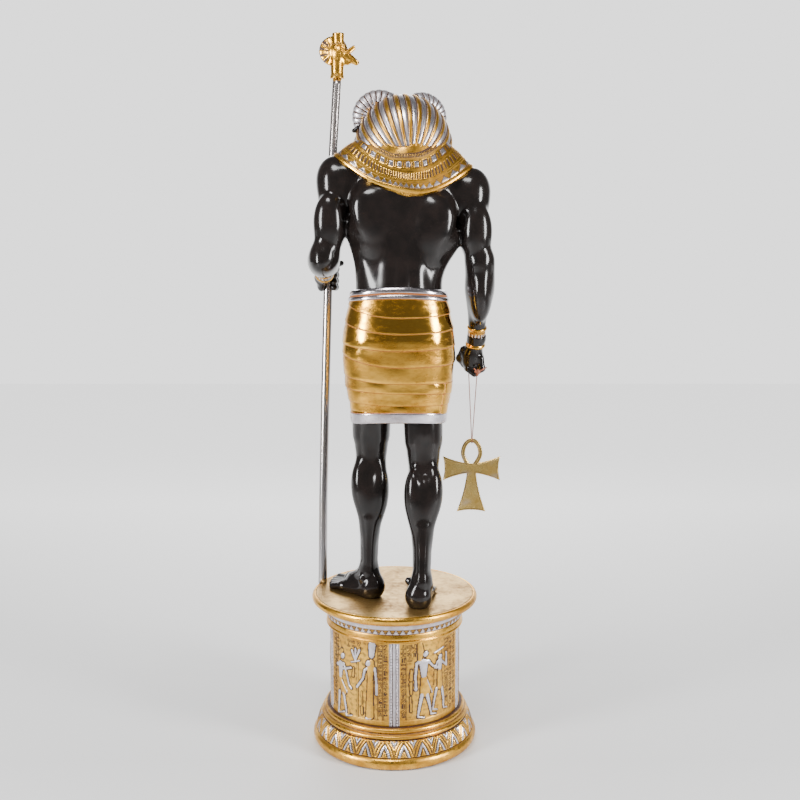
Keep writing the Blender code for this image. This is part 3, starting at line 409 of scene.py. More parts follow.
def blob(c, r, turn=(0.0, 0.0, 0.0), k=0.02, carve=False):
    """Ellipsoid; turn is degrees about x, then y, then z."""
    c, r = np.array(c, float), np.array(r, float)
    rx, ry, rz = [math.radians(v) for v in turn]
    mx = np.array([[1, 0, 0], [0, math.cos(rx), -math.sin(rx)], [0, math.sin(rx), math.cos(rx)]])
    my = np.array([[math.cos(ry), 0, math.sin(ry)], [0, 1, 0], [-math.sin(ry), 0, math.cos(ry)]])
    mz = np.array([[math.cos(rz), -math.sin(rz), 0], [math.sin(rz), math.cos(rz), 0], [0, 0, 1]])
    m = mz @ my @ mx
    reach = np.sqrt((m ** 2) @ (r ** 2)) + 0.055

    def dist(p):
        q = (p - c) @ m
        k0 = np.linalg.norm(q / r, axis=1) + 1e-9
        k1 = np.linalg.norm(q / (r * r), axis=1) + 1e-9
        return k0 * (k0 - 1.0) / k1
    return dist, c - reach, c + reach, k, carve


def field(p, parts, limits=()):
    d = np.full(len(p), 0.3)
    for dist, lo, hi, k, carve in parts:
        near = np.nonzero(((p > lo) & (p < hi)).all(axis=1))[0]
        if len(near) == 0:
            continue
        e = dist(p[near])
        d[near] = -smooth_min(-d[near], e, k) if carve else smooth_min(d[near], e, k)
    for beyond in limits:
        d = np.maximum(d, beyond(p))
    return d


def past(point, way):
    """Limit for a net: what lies past the point in the given direction is cut off flat."""
    point, way = np.array(point, float), np.array(way, float) / np.linalg.norm(way)
    return lambda p: (p - point) @ way


def untangle(val):
    """Fills a corner wherever two solid corners meet only across a square or a cube."""
    for _ in range(12):
        changed = 0
        for u, v in ((0, 1), (1, 2), (0, 2)):
            corner = []
            for du in (0, 1):
                for dv in (0, 1):
                    pick = [slice(None)] * 3
                    pick[u] = slice(du, val.shape[u] - 1 + du)
                    pick[v] = slice(dv, val.shape[v] - 1 + dv)
                    corner.append(val[tuple(pick)])
            a, b, c, d = corner
            for p, q, r, s in ((a, d, b, c), (b, c, a, d)):
                bad = (p < 0) & (q < 0) & (r >= 0) & (s >= 0)
                changed += int(bad.sum())
                first = bad & (r <= s)
                r[first] = -1e-4
                s[bad & ~first] = -1e-4
        if not changed:
            break
    return val


def surface_net(parts, lo, hi, cell, limits=(), rounds=3):
    """Quads on the zero level of a field, one vertex in each cell that the surface crosses."""
    axes = [np.arange(lo[i], hi[i] + cell, cell) for i in range(3)]
    grid = np.stack(np.meshgrid(*axes, indexing='ij'), axis=-1)
    shape = grid.shape[:3]
    val = untangle(field(grid.reshape(-1, 3), parts, limits).reshape(shape))
    cells = tuple(n - 1 for n in shape)
    total, count = np.zeros(cells + (3,)), np.zeros(cells)
    edges = []
    for ax in range(3):
        u, v = (ax + 1) % 3, (ax + 2) % 3
        first, second = [slice(None)] * 3, [slice(None)] * 3
        first[ax], second[ax] = slice(0, -1), slice(1, None)
        a, b = val[tuple(first)], val[tuple(second)]
        hit = (a < 0) != (b < 0)
        t = np.where(hit, a / np.where(a == b, 1.0, a - b), 0.0)
        pos = grid[tuple(first)].copy()
        pos[..., ax] += t * cell
        for du in (0, 1):
            for dv in (0, 1):
                pick = [slice(None)] * 3
                pick[u] = slice(du, shape[u] - 1 + du)
                pick[v] = slice(dv, shape[v] - 1 + dv)
                h = hit[tuple(pick)]
                total += np.where(h[..., None], pos[tuple(pick)], 0.0)
                count += h
        edges.append((np.argwhere(hit), a))
    ids = np.full(cells, -1, int)
    active = count > 0
    ids[active] = np.arange(active.sum())
    verts = total[active] / count[active][:, None]
    quads = []
    for ax, (at, a) in enumerate(edges):
        u, v = (ax + 1) % 3, (ax + 2) % 3
        at = at[(at[:, u] > 0) & (at[:, v] > 0) & (at[:, u] < cells[u]) & (at[:, v] < cells[v])]
        out = a[tuple(at.T)] >= 0
        eu, ev = np.eye(3, dtype=int)[u], np.eye(3, dtype=int)[v]
        q = np.stack([ids[tuple((at - eu - ev).T)], ids[tuple((at - ev).T)],
                      ids[tuple(at.T)], ids[tuple((at - eu).T)]], axis=1)
        q[out] = q[out][:, ::-1]
        quads.append(q)
    for _ in range(rounds):
        f = field(verts, parts, limits)
        g = np.zeros_like(verts)
        for ax in range(3):
            step = np.zeros(3)
            step[ax] = 0.0004
            g[:, ax] = (field(verts + step, parts, limits) - field(verts - step, parts, limits)) / 0.0008
        move = -f[:, None] * g / np.maximum((g * g).sum(axis=1), 0.25)[:, None]
        size = np.linalg.norm(move, axis=1)
        verts = verts + move * np.minimum(1.0, 0.4 * cell / np.maximum(size, 1e-9))[:, None]
    return verts, np.concatenate(quads)

# %% [markdown]
# ## The joints
# The figure stands with the weight on its right leg, the left hand round the staff, the right hand
# hanging with the looped cross. The tables hold each joint's place above the plinth top.

# %% Joints
# joints and turning directions of the figure, heights above the plinth top
HEAD = np.array([-0.027, 0.055, 1.525])
HEAD_TURN = math.radians(13)
FACE = np.array([math.sin(HEAD_TURN), -math.cos(HEAD_TURN), 0.0])
SIDE = np.array([math.cos(HEAD_TURN), math.sin(HEAD_TURN), 0.0])
SHOULDER_L, SHOULDER_R = (0.178, 0.085, 1.356), (-0.237, 0.085, 1.320)
ELBOW_L, ELBOW_R = (0.2145, 0.122, 1.130), (-0.268, 0.100, 1.110)
WRIST_L, WRIST_R = (0.235, -0.120, 1.070), (-0.270, 0.004, 0.862)
GRIP = (0.2275, -0.185, 1.050)
FIST_R = (-0.2530, -0.026, 0.786)
KNEE_L, KNEE_R = (0.0765, 0.012, 0.490), (-0.0955, 0.070, 0.480)
ANKLE_L, ANKLE_R = (0.0860, 0.046, 0.080), (-0.0890, 0.155, 0.080)
TOE_L, TOE_R = (0.704, -0.710), (-0.085, -0.996)
HEEL_L, HEEL_R = (0.066, 0.074), (-0.078, 0.180)


def head_point(out, ahead, up):
    return HEAD + SIDE * out + FACE * ahead + np.array([0.0, 0.0, up])
print("figure", round(float(HEAD[2] + 0.106), 3), "m tall")

# %% [markdown]
# ## The thong first
# A leather thong comes out of the right fist, passes under the ring of the cross and is tied on the
# knuckles. It is a poly curve with a round bevel, read from a smooth curve so that it bends evenly.

# %% Thong
ANKH_CROSS, ANKH_THICK = 0.418, 0.011
ANKH_X, ANKH_Y = -0.260, -0.030
RING_TOP, RING_BAR = 0.0956, 0.0140
CORD_DIAMETER = 0.003
CORD_R = CORD_DIAMETER / 2


def smooth_run(points, spacing):
    """Points read every spacing or so from a smooth curve through the given ones."""
    pts = [np.array(p, float) for p in points]
    out = []
    for i in range(len(pts) - 1):
        p0, p1, p2, p3 = pts[max(i - 1, 0)], pts[i], pts[i + 1], pts[min(i + 2, len(pts) - 1)]
        chord = np.linalg.norm(p2 - p1)
        m1 = (p2 - p0) / max(np.linalg.norm(p2 - p1) + np.linalg.norm(p1 - p0), 1e-9) * chord
        m2 = (p3 - p1) / max(np.linalg.norm(p3 - p2) + np.linalg.norm(p2 - p1), 1e-9) * chord
        count = max(1, round(chord / spacing))
        for j in range(count):
            t = j / count
            out.append(p1 * (2 * t ** 3 - 3 * t ** 2 + 1) + m1 * (t ** 3 - 2 * t ** 2 + t)
                       + p2 * (3 * t ** 2 - 2 * t ** 3) + m2 * (t ** 3 - t ** 2))
    return [Vector(p) for p in out + [pts[-1]]]


def cord_route():
    """Points from the fist, under the ring's top bar, up to the knot on the knuckles."""
    bar_low = ANKH_CROSS + RING_TOP - RING_BAR / 2
    low = bar_low - CORD_R - 0.0004
    half, bend = ANKH_THICK / 2 - 0.0037, 0.0047 + CORD_R
    turn = []
    for side in (-1, 1):
        for i in range(4):
            a = math.radians(30 * i if side < 0 else 90 - 30 * i)
            turn.append((ANKH_X - 0.0005 - side * 0.0003, ANKH_Y + side * (half + bend * math.cos(a)),
                         low + bend - bend * math.sin(a)))
    first = turn[0]
    last = turn[-1]
    start, end = (-0.2477, -0.0390, 0.7520), (-0.2712, 0.0212, 0.7369)
    blend = lambda p, q, t: tuple(u + (v - u) * t for u, v in zip(p, q))
    lead_in = (first[0] + 0.0004, first[1] - 0.0001, first[2] + 0.012)
    lead_out = (last[0] - 0.0004, last[1] + 0.0012, last[2] + 0.012)
    through = ([start, blend(start, lead_in, 0.35), blend(start, lead_in, 0.7), lead_in] + turn
               + [lead_out, blend(lead_out, end, 0.3), blend(lead_out, end, 0.65), end])
    return [p + Vector((0, 0, PLINTH_HEIGHT)) for p in smooth_run(through, 3 * CORD_DIAMETER)]


route = cord_route()
curve = bpy.data.curves.new("thong", 'CURVE')
curve.dimensions = '3D'
curve.bevel_depth = CORD_R
curve.bevel_resolution = 4
curve.use_fill_caps = True
line = curve.splines.new('POLY')
line.points.add(len(route) - 1)
for i, p in enumerate(route):
    line.points[i].co = (p.x, p.y, p.z, 1.0)
curve.materials.append(thong)
cord_piece = bpy.data.objects.new("thong", curve)
bpy.context.scene.collection.objects.link(cord_piece)
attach(cord_piece, "root")
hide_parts("ankh_cord")

# %% [markdown]
# ## The knot
# The knot is four short strands pressed together, so the field gives it the soft valleys of tied leather.

# %% Knot
KNOT = np.array([-0.2722, 0.0226, 0.7500])


def carved(name, parts, lo, hi, cell, mat, node, limits=(), marks=None):
    verts, quads = surface_net(parts, lo, hi, cell, limits)
    extra = {k: f(verts) for k, f in (marks or {}).items()}
    return piece_from(name, lift(verts), quads, mat, node, extra)


def knot_parts():
    k = KNOT
    return [
        cone(k + (0, 0, -0.0078), k + (-0.002, 0.002, 0.006), 0.0046, 0.0052, 0.004),
        cone(k + (-0.007, 0.001, 0.000), k + (0.006, 0.002, 0.003), 0.0040, 0.0040, 0.003),
        cone(k + (-0.004, 0.002, 0.004), k + (-0.018, 0.002, 0.010), 0.0026, 0.0024, 0.002),
        cone(k + (-0.018, 0.002, 0.010), k + (-0.030, -0.003, 0.016), 0.0024, 0.0022, 0.002),
        cone(k + (0.003, 0.002, 0.004), k + (0.010, 0.002, 0.013), 0.0025, 0.0022, 0.002),
    ]


knot_piece = carved("thong_knot", knot_parts(), KNOT - 0.042, KNOT + 0.034, 0.0009, thong,
                    "cord_knot")

# %% [markdown]
# ## The looped cross
# The cross is a cast plate with bevelled edges and a raised rib. Its outline is a distance in the flat:
# three flared arms and a pinched ring. Thickness and bevel are added by comparing that distance with depth.

# %% Looped cross
def cross_outline(x, z):
    best = np.full(x.shape, 1.0)
    bars = ((x, z, 0.097, 0.0165, 0.042), (-x, z, 0.097, 0.0165, 0.042), (-z, x, 0.150, 0.0150, 0.049))
    for a, b, length, root, tip in bars:
        along = np.clip(a / length, 0.0, 1.0)
        side = (np.abs(b) - (root + (tip - root) * along ** 1.7)) * 0.96
        end = a - (length - 0.0060 + 0.0060 * np.minimum(1.0, np.abs(b) / tip) ** 2)
        best = np.minimum(best, np.maximum(np.maximum(side, end), -a - 0.010))
    turn = np.linspace(0, 2 * math.pi, 73)
    pinch = 1.0 - 0.42 * np.maximum(0.0, -np.cos(turn)) ** 1.4
    rx, rz = np.sin(turn) * 0.0292 * pinch, RING_TOP - 0.0450 + np.cos(turn) * 0.0450
    for x0, z0, x1, z1 in zip(rx, rz, rx[1:], rz[1:]):
        dx, dz = x1 - x0, z1 - z0
        t = np.clip(((x - x0) * dx + (z - z0) * dz) / (dx * dx + dz * dz), 0, 1)
        best = np.minimum(best, np.hypot(x - x0 - t * dx, z - z0 - t * dz) - RING_BAR / 2)
    return best


def cross_distance(p):
    x, y, z = p[:, 0] - ANKH_X, p[:, 1] - ANKH_Y, p[:, 2] - ANKH_CROSS
    flat = cross_outline(x, z)
    dish = 0.0011 * ramp(-flat, 0.0032, 0.0050)
    deep = np.abs(y) - ANKH_THICK / 2 + dish
    return np.maximum(np.maximum(flat, deep), (flat + deep + 0.0026) * 0.7071)


cross_lo = np.array([ANKH_X - 0.102, ANKH_Y - 0.010, ANKH_CROSS - 0.156])
cross_hi = np.array([ANKH_X + 0.102, ANKH_Y + 0.010, ANKH_CROSS + 0.102])


def cross_dirt(p):
    """Brown along the foot of the raised rim."""
    flat = cross_outline(p[:, 0] - ANKH_X, p[:, 2] - ANKH_CROSS)
    return np.exp(-((flat + 0.0042) / 0.0012) ** 2) * 0.75


carved("looped_cross", [(cross_distance, cross_lo, cross_hi, 0.0001, False)], cross_lo, cross_hi, 0.0015,
       cross_leaf, "ankh",
       marks={"tone": lambda p: 0.35 * ramp(grain(p, 40.0), 0.1, 0.9), "dirt": cross_dirt})

# %% [markdown]
# ## Torso and arms
# The back is what the photograph shows most: a deep groove along the spine between two columns, shoulder
# blades, the broad back muscles running down to the waist, and the arms pressed against them.

# %% Muscles of the torso and arms
def torso_parts():
    parts = [
        blob((-0.027, 0.080, 1.240), (0.146, 0.098, 0.205)),
        blob((-0.030, 0.085, 1.335), (0.168, 0.086, 0.085), (0, -5.5, 0), 0.05),
        blob((-0.016, 0.085, 1.050), (0.136, 0.096, 0.170), k=0.04),
        blob((-0.0165, 0.090, 0.930), (0.150, 0.110, 0.140), k=0.04),
        cone((-0.035, 0.100, 1.380), (-0.030, 0.075, 1.520), 0.070, 0.066, 0.05),
        cone((-0.035, 0.105, 1.430), (0.125, 0.092, 1.392), 0.050, 0.042, 0.05),
        cone((-0.035, 0.105, 1.425), (-0.180, 0.092, 1.358), 0.050, 0.042, 0.05),
    ]
    for side, top in ((1, 0.0), (-1, -0.030)):
        mid = -0.028
        parts += [
            cone((mid + side * 0.128, 0.105, 1.215 + top),
                 (mid + (0.088 if side > 0 else -0.066), 0.095, 1.060),
                 0.056, 0.044 if side > 0 else 0.038, 0.03),
            blob((mid + side * 0.098, 0.140, 1.290 + top), (0.066, 0.045, 0.070), (0, side * 20, 0), 0.02),
            blob((mid + side * 0.082, 0.142, 1.200 + top * 0.5), (0.060, 0.038, 0.085),
                 (0, side * 16, 0), 0.02),
            cone((mid + side * 0.034, 0.146, 1.000), (mid + side * 0.036, 0.140, 1.180), 0.036, 0.028, 0.02),
            blob((mid + side * 0.082, 0.005, 1.290 + top * 0.7), (0.082, 0.042, 0.062),
                 (0, side * -12, 0), 0.02),
            cone((mid + side * 0.030, 0.005, 1.000), (mid + side * 0.028, -0.002, 1.200), 0.030, 0.028, 0.02),
        ]
    parts += [
        cone((-0.020, 0.196, 0.990), (-0.030, 0.196, 1.330), 0.011, 0.010, 0.030, True),
        cone((-0.022, -0.034, 1.040), (-0.026, -0.042, 1.320), 0.006, 0.008, 0.022, True),
    ]
    return parts


def arm_parts(shoulder, elbow, wrist, side):
    s, e, w = [np.array(v, float) for v in (shoulder, elbow, wrist)]
    upper = lambda t, out, back: s + (e - s) * t + np.array([side * out, back, 0.0])
    lower = lambda t, out, up: e + (w - e) * t + np.array([side * out, 0.0, up])
    return [
        blob(s + np.array([side * 0.002, 0.0, 0.0]), (0.064, 0.064, 0.086), (0, side * 8, 0), 0.03),
        cone(s + (e - s) * 0.15, e, 0.050, 0.040, 0.02),
        blob(upper(0.55, 0.004, 0.028), (0.049, 0.042, 0.092), (-6, 0, 0), 0.015),
        blob(upper(0.62, -0.004, -0.024), (0.042, 0.038, 0.080), k=0.015),
        cone(upper(0.95, 0.012, 0.010), lower(0.35, 0.006, 0.006), 0.036, 0.040, 0.02),
        cone(e, w, 0.039, 0.0265, 0.02),
        blob(lower(0.30, 0.006, 0.0), np.abs((w - e) * 0.36) + np.array([0.042, 0.040, 0.030]), k=0.02),
    ]


def back_details():
    """The deep line of the spine and the soft edge of the shoulder blades."""
    spine = [(-0.047, 0.192, 1.345), (-0.031, 0.199, 1.255), (-0.025, 0.197, 1.175),
             (-0.034, 0.194, 1.090), (-0.036, 0.190, 1.000)]
    parts = [cone(a, b, 0.0050, 0.0050, 0.018, True) for a, b in zip(spine, spine[1:])]
    mid = -0.028
    for s, top in ((1, 0.0), (-1, -0.030)):
        parts += [
            blob((mid + s * 0.100, 0.163, 1.262 + top), (0.048, 0.020, 0.054), (0, s * 24, 0), 0.040),
        ]
    return parts


def arm_details(shoulder, elbow, wrist, s):
    """The elbow."""
    a, e, w = [np.array(v, float) for v in (shoulder, elbow, wrist)]
    at = lambda t, out, back: a + (e - a) * t + np.array([s * out, back, 0.0])
    return [
        blob(at(1.0, 0.000, 0.028), (0.018, 0.015, 0.020), k=0.018),
    ]


arms = arm_parts(SHOULDER_L, ELBOW_L, WRIST_L, 1) + arm_parts(SHOULDER_R, ELBOW_R, WRIST_R, -1)
cuff_left = (np.array((0.2325, -0.062, 1.0845)), np.array((0.2365, -0.125, 1.068)))
cuff_right = (np.array((-0.2705, 0.019, 0.902)), np.array((-0.2665, -0.006, 0.836)))
cuts = [past((0, 0, 1.505), (0, 0, 1)), lambda p: np.minimum(0.985 - p[:, 2], p[:, 0] + 0.208)]
cuts += [past(a + (b - a) * 0.5, b - a) for a, b in (cuff_left, cuff_right)]
torso_list = (torso_parts() + arms + back_details() + arm_details(SHOULDER_L, ELBOW_L, WRIST_L, 1)
              + arm_details(SHOULDER_R, ELBOW_R, WRIST_R, -1))
carved("torso_and_arms", torso_list, (-0.345, -0.150, 0.840), (0.285, 0.245, 1.520), 0.0048, skin,
       "figure", cuts)

# %% [markdown]
# ## Hands
# Each finger is a chain of short rounded bars bent round the staff or into the palm.

# %% Hands
def left_hand_parts():
    g = np.array(GRIP)
    parts = [
        cone((WRIST_L[0], WRIST_L[1], WRIST_L[2]), g + np.array([0.020, 0.030, 0.004]), 0.027, 0.026, 0.015),
        blob(g + np.array([0.024, 0.006, 0.0]), (0.018, 0.036, 0.044), (0, 0, 12), 0.012),
        cone(g + np.array([0.008, 0.044, 0.026]), g + np.array([-0.024, 0.034, 0.046]), 0.014, 0.012, 0.01),
        cone(g + np.array([-0.024, 0.034, 0.046]), g + np.array([-0.045, 0.012, 0.052]), 0.012, 0.010, 0.01),
    ]
    for n in range(4):
        up = 0.031 - 0.0205 * n
        reach = 0.0270 - 0.0008 * n
        turns = [math.radians(a) for a in (20, -45, -105, -165, -215)]
        ring = [g + np.array([reach * math.cos(a), reach * math.sin(a), up]) for a in turns]
        for a, b in zip(ring, ring[1:]):
            parts.append(cone(a, b, 0.0118, 0.0112, 0.006))
    return parts


def right_hand_parts():
    f = np.array(FIST_R)
    parts = [
        cone(WRIST_R, f + np.array([-0.008, 0.012, 0.030]), 0.0265, 0.027, 0.02),
        blob(f + np.array([-0.004, 0.004, 0.006]), (0.035, 0.033, 0.045), k=0.02),
        cone(f + np.array([0.022, 0.000, 0.034]), f + np.array([0.034, -0.014, 0.004]), 0.014, 0.0125, 0.01),
        cone(f + np.array([0.034, -0.014, 0.004]), f + np.array([0.020, -0.024, -0.018]), 0.0125, 0.011,
             0.01),
    ]
    for n in range(4):
        y = 0.024 - 0.0190 * n
        size = (0.0108, 0.0122, 0.0122, 0.0110)[n]
        a = f + np.array([-0.032, y + 0.002, 0.008])
        b = f + np.array([-0.036, y, -0.026])
        c = f + np.array([-0.012, y, -0.042])
        d = f + np.array([0.010, y, -0.028])
        parts += [cone(a, b, size, size, 0.008), cone(b, c, size, size, 0.006),
                  cone(c, d, size, size * 0.95, 0.006)]
    return parts


arm_left = [cone(ELBOW_L, WRIST_L, 0.039, 0.0265, 0.02)]
arm_right = [cone(ELBOW_R, WRIST_R, 0.039, 0.0265, 0.02)]
STAFF = ((0.2505, -0.0817, 0.0), (0.2490, -0.0950, 0.1346), (0.2473, -0.1114, 0.3018),
         (0.2434, -0.1278, 0.4682),
         (0.2396, -0.1441, 0.6337), (0.2350, -0.1604, 0.7985), (0.2288, -0.1819, 1.0171),
         (0.2200, -0.2000, 1.2200), (0.2092, -0.2285, 1.4904), (0.1950, -0.2509, 1.722))
channel = [cone(a, b, 0.0158, 0.0158, 0.0005, True) for a, b in zip(STAFF[5:7], STAFF[6:8])]


def hand_cut(upper, lower):
    """The hand starts inside the cuff, where its edge is out of sight."""
    return past(upper * 0.58 + lower * 0.42, upper - lower)


carved("left_hand", arm_left + left_hand_parts() + channel, (0.150, -0.250, 0.985), (0.300, -0.060, 1.125),
       0.0024, skin, "figure", [hand_cut(*cuff_left)])
carved("right_hand", arm_right + right_hand_parts(), (-0.320, -0.080, 0.720), (-0.195, 0.060, 0.900),
       0.0024, skin, "figure", [hand_cut(*cuff_right)])

# %% [markdown]
# ## Legs and feet
# The calves carry two heads with a valley between them, the tendon runs to the heel and each foot has
# five toes. The left foot is turned out.

# %% Legs and feet
def leg_parts(hip, knee, ankle, side):
    h, k, a = [np.array(v, float) for v in (hip, knee, ankle)]
    shin = lambda t, out, back: k + (a - k) * t + np.array([side * out, back, 0.0])
    return [
        cone(h, k + np.array([0.0, 0.0, 0.06]), 0.088, 0.058, 0.04),
        blob(k + np.array([0.0, 0.0, 0.055]), (0.050, 0.055, 0.080), k=0.03),
        blob(k + np.array([0.0, -0.004, 0.0]), (0.045, 0.049, 0.050), k=0.02),
        cone(k, a, 0.040, 0.0285, 0.02),
        blob(shin(0.330, -0.026, 0.024), (0.036, 0.044, 0.098), (3, side * -3, 0), 0.025),
        blob(shin(0.300, 0.028, 0.022), (0.036, 0.042, 0.092), (3, side * 4, 0), 0.025),
        blob(shin(0.48, 0.0, 0.018), (0.036, 0.034, 0.110), k=0.02),
        cone(shin(0.55, 0.0, 0.030), shin(0.98, 0.0, 0.030), 0.020, 0.0165, 0.02),
        blob(k + np.array([side * 0.002, 0.064, 0.012]), (0.012, 0.010, 0.040), k=0.030, carve=True),
        cone(k + np.array([0.0, 0.010, 0.10]), k + np.array([0.0, 0.006, -0.04]), 0.040, 0.040, 0.03),
    ]


def foot_parts(ankle, heel, toward, outward):
    """Foot along toward, its little-toe side on outward."""
    u = np.array([toward[0], toward[1], 0.0])
    v = np.array([outward[0], outward[1], 0.0])
    base = np.array([heel[0], heel[1], 0.0])
    pt = lambda ahead, out, up: base + u * ahead + v * out + np.array([0.0, 0.0, up])
    parts = [
        blob(pt(0.010, 0.0, 0.038), (0.041, 0.039, 0.047), k=0.015),
        cone(ankle, pt(0.100, -0.006, 0.040), 0.031, 0.027, 0.025),
        cone(pt(0.02, -0.006, 0.032), pt(0.135, -0.020, 0.026), 0.033, 0.028, 0.02),
        cone(pt(0.02, 0.010, 0.022), pt(0.125, 0.028, 0.018), 0.025, 0.018, 0.02),
        blob(pt(0.040, -0.036, 0.078), (0.011, 0.011, 0.012), k=0.012),
        blob(pt(0.028, 0.034, 0.066), (0.010, 0.010, 0.012), k=0.012),
    ]
    toes = ((-0.028, 0.205, 0.0150), (-0.006, 0.206, 0.0112), (0.012, 0.196, 0.0108),
            (0.028, 0.184, 0.0102), (0.042, 0.168, 0.0100))
    for out, tip, size in toes:
        parts.append(cone(pt(0.125, out * 0.86, 0.020), pt(tip, out, size), size * 1.12, size, 0.008))
    return parts


left_leg = (leg_parts((0.070, 0.078, 0.840), KNEE_L, ANKLE_L, 1)
            + foot_parts(ANKLE_L, HEEL_L, TOE_L, (0.710, 0.704)))
right_leg = (leg_parts((-0.086, 0.079, 0.840), KNEE_R, ANKLE_R, -1)
             + foot_parts(ANKLE_R, HEEL_R, TOE_R, (-0.996, 0.085)))
leg_cuts = [past((0, 0, 0), (0, 0, -1)), past((0, 0, 0.655), (0, 0, 1))]
carved("left_leg", left_leg, (0.000, -0.190, -0.012), (0.285, 0.200, 0.670), 0.0039, skin,
       "figure", leg_cuts)
carved("right_leg", right_leg, (-0.210, -0.090, -0.012), (-0.010, 0.245, 0.670), 0.0039, skin,
       "figure", leg_cuts)

# %% [markdown]
# ## The ram's head
# The photograph shows it only from behind, so the face is a plain ram of no particular sculptor: a long
# muzzle, level ears, almond eyes under a brow, nostrils and a closed mouth line.

# %% Ram's head
def head_parts():
    """Ram's head, plain: skull, long muzzle, jaw, brow and level ears."""
    parts = [
        blob(HEAD, (0.074, 0.088, 0.082), (0, 0, 13), 0.02),
        cone(head_point(0, 0.060, 0.004), head_point(0, 0.178, -0.066), 0.058, 0.034, 0.03),
        cone(head_point(0, 0.040, -0.062), head_point(0, 0.160, -0.098), 0.040, 0.024, 0.02),
        blob(head_point(0, 0.186, -0.080), (0.031, 0.026, 0.029), (0, 0, 13), 0.012),
    ]
    for s in (1, -1):
        at = lambda out, ahead, up: head_point(s * out, ahead, up)
        parts += [
            blob(at(0.048, 0.084, 0.026), (0.016, 0.024, 0.014), (0, 0, 13), 0.012),
            cone(at(0.070, 0.020, 0.006), at(0.118, 0.022, 0.004), 0.017, 0.019, 0.012),
            cone(at(0.118, 0.022, 0.004), at(0.152, 0.020, -0.006), 0.018, 0.007, 0.01),
        ]
    return parts


def face_details():
    """Eyes with lids, nostrils and the line of the mouth."""
    parts = [cone(head_point(0, 0.213, -0.092), head_point(0, 0.196, -0.104), 0.0030, 0.0030, 0.004, True)]
    for s in (1, -1):
        at = lambda out, ahead, up: head_point(s * out, ahead, up)
        parts += [
            blob(at(0.050, 0.098, 0.010), (0.015, 0.018, 0.010), (0, 0, 13), 0.004, True),
            blob(at(0.047, 0.096, 0.010), (0.0125, 0.015, 0.0085), (0, 0, 13), 0.001),
            cone(at(0.062, 0.078, 0.020), at(0.046, 0.116, 0.018), 0.0045, 0.0035, 0.004),
            cone(at(0.016, 0.211, -0.072), at(0.025, 0.200, -0.068), 0.0036, 0.0030, 0.004, True),
            cone(at(0.004, 0.212, -0.096), at(0.034, 0.160, -0.094), 0.0026, 0.0022, 0.004, True),
            cone(at(0.100, 0.006, 0.006), at(0.138, 0.008, -0.002), 0.0090, 0.0050, 0.006, True),
        ]
    return parts


carved("ram_head", head_parts() + face_details(), HEAD + (-0.195, -0.250, -0.140),
       HEAD + (0.195, 0.125, 0.110), 0.0035, skin, "figure")

# %% [markdown]
# ## Striped headdress
# The cloth is gathered at the nape and its flutes fan forward over the skull. Each pair is a narrow gold
# rib and a wider silver valley with brown in the step between, so one grid of points carries both the
# shape and the tone. Its lower edge is cut level where it meets the collar.

# %% Headdress
DRESS = np.array([-0.030, 0.060, 1.490])
DRESS_HALF = np.array([0.143, 0.118, 0.141])


def dress_point(alpha, beta, grow):
    """Point of the cloth: alpha from the gather at the back, beta round it from straight up."""
    pole = np.array([-0.17, 0.955, -0.24])
    pole /= np.linalg.norm(pole)
    right = np.cross(pole, (0.0, 0.0, 1.0))
    right /= np.linalg.norm(right)
    up = np.cross(right, pole)
    way = pole * math.cos(alpha) + (up * math.cos(beta) + right * math.sin(beta)) * math.sin(alpha)
    flare = 0.11 * math.exp(-((abs(beta) - 1.9) / 0.5) ** 2) * math.sin(alpha) ** 2
    p = DRESS + way * DRESS_HALF * (1.0 + flare) * (1.0 + grow / 0.14)
    return p


def headdress_rows(flutes=26, columns=338, levels=84):
    """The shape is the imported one; the flutes fan from a gather hidden under the collar."""
    beta = np.linspace(0, 2 * math.pi, columns, endpoint=False)
    beta = np.where(beta > math.pi, beta - 2 * math.pi, beta)
    nape = np.array([-0.12, 0.80, -0.58])
    nape /= np.linalg.norm(nape)
    right = np.cross(nape, (0.0, 0.0, 1.0))
    right /= np.linalg.norm(right)
    up = np.cross(right, nape)
    rows, tone, dirt = [], [], []
    for alpha in np.linspace(3, 112, levels):
        ring = np.array([dress_point(math.radians(alpha), b, 0.0) for b in beta])
        way = (ring - DRESS) / DRESS_HALF
        share = (np.arctan2(way @ right, way @ up) / (2 * math.pi) * flutes + 0.25) % 1.0
        near = ramp(np.hypot(way @ right, way @ up), 0.05, 0.45)
        rib = ramp(share, 0.0, 0.08) * (1 - ramp(share, 0.38, 0.46))
        valley = 0.5 + 0.5 * np.cos((share - 0.72) / 0.54 * 2 * math.pi)
        grow = (0.0042 * rib - 0.0026 + 0.0014 * valley * (1 - rib)) * near
        ring = lift(DRESS + (ring - DRESS) * (1 + grow / 0.14)[:, None])
        ring[:, 2] = np.maximum(ring[:, 2], PLINTH_HEIGHT + GAP + 1.452)
        rows.append(ring)
        tone.append(1.0 - ramp(rib, 0.3, 0.7))
        cracks = ((0.0, 0.06), (1.0, 0.075), (0.48, 0.06))
        crack = sum(np.exp(-((share - at) / width) ** 2) for at, width in cracks)
        dirt.append(1.15 * crack + 0.10)
    return rows, {"tone": tone, "dirt": dirt}


rows, marks = headdress_rows()
turned("headdress", rows, dress_leaf, "figure", marks)


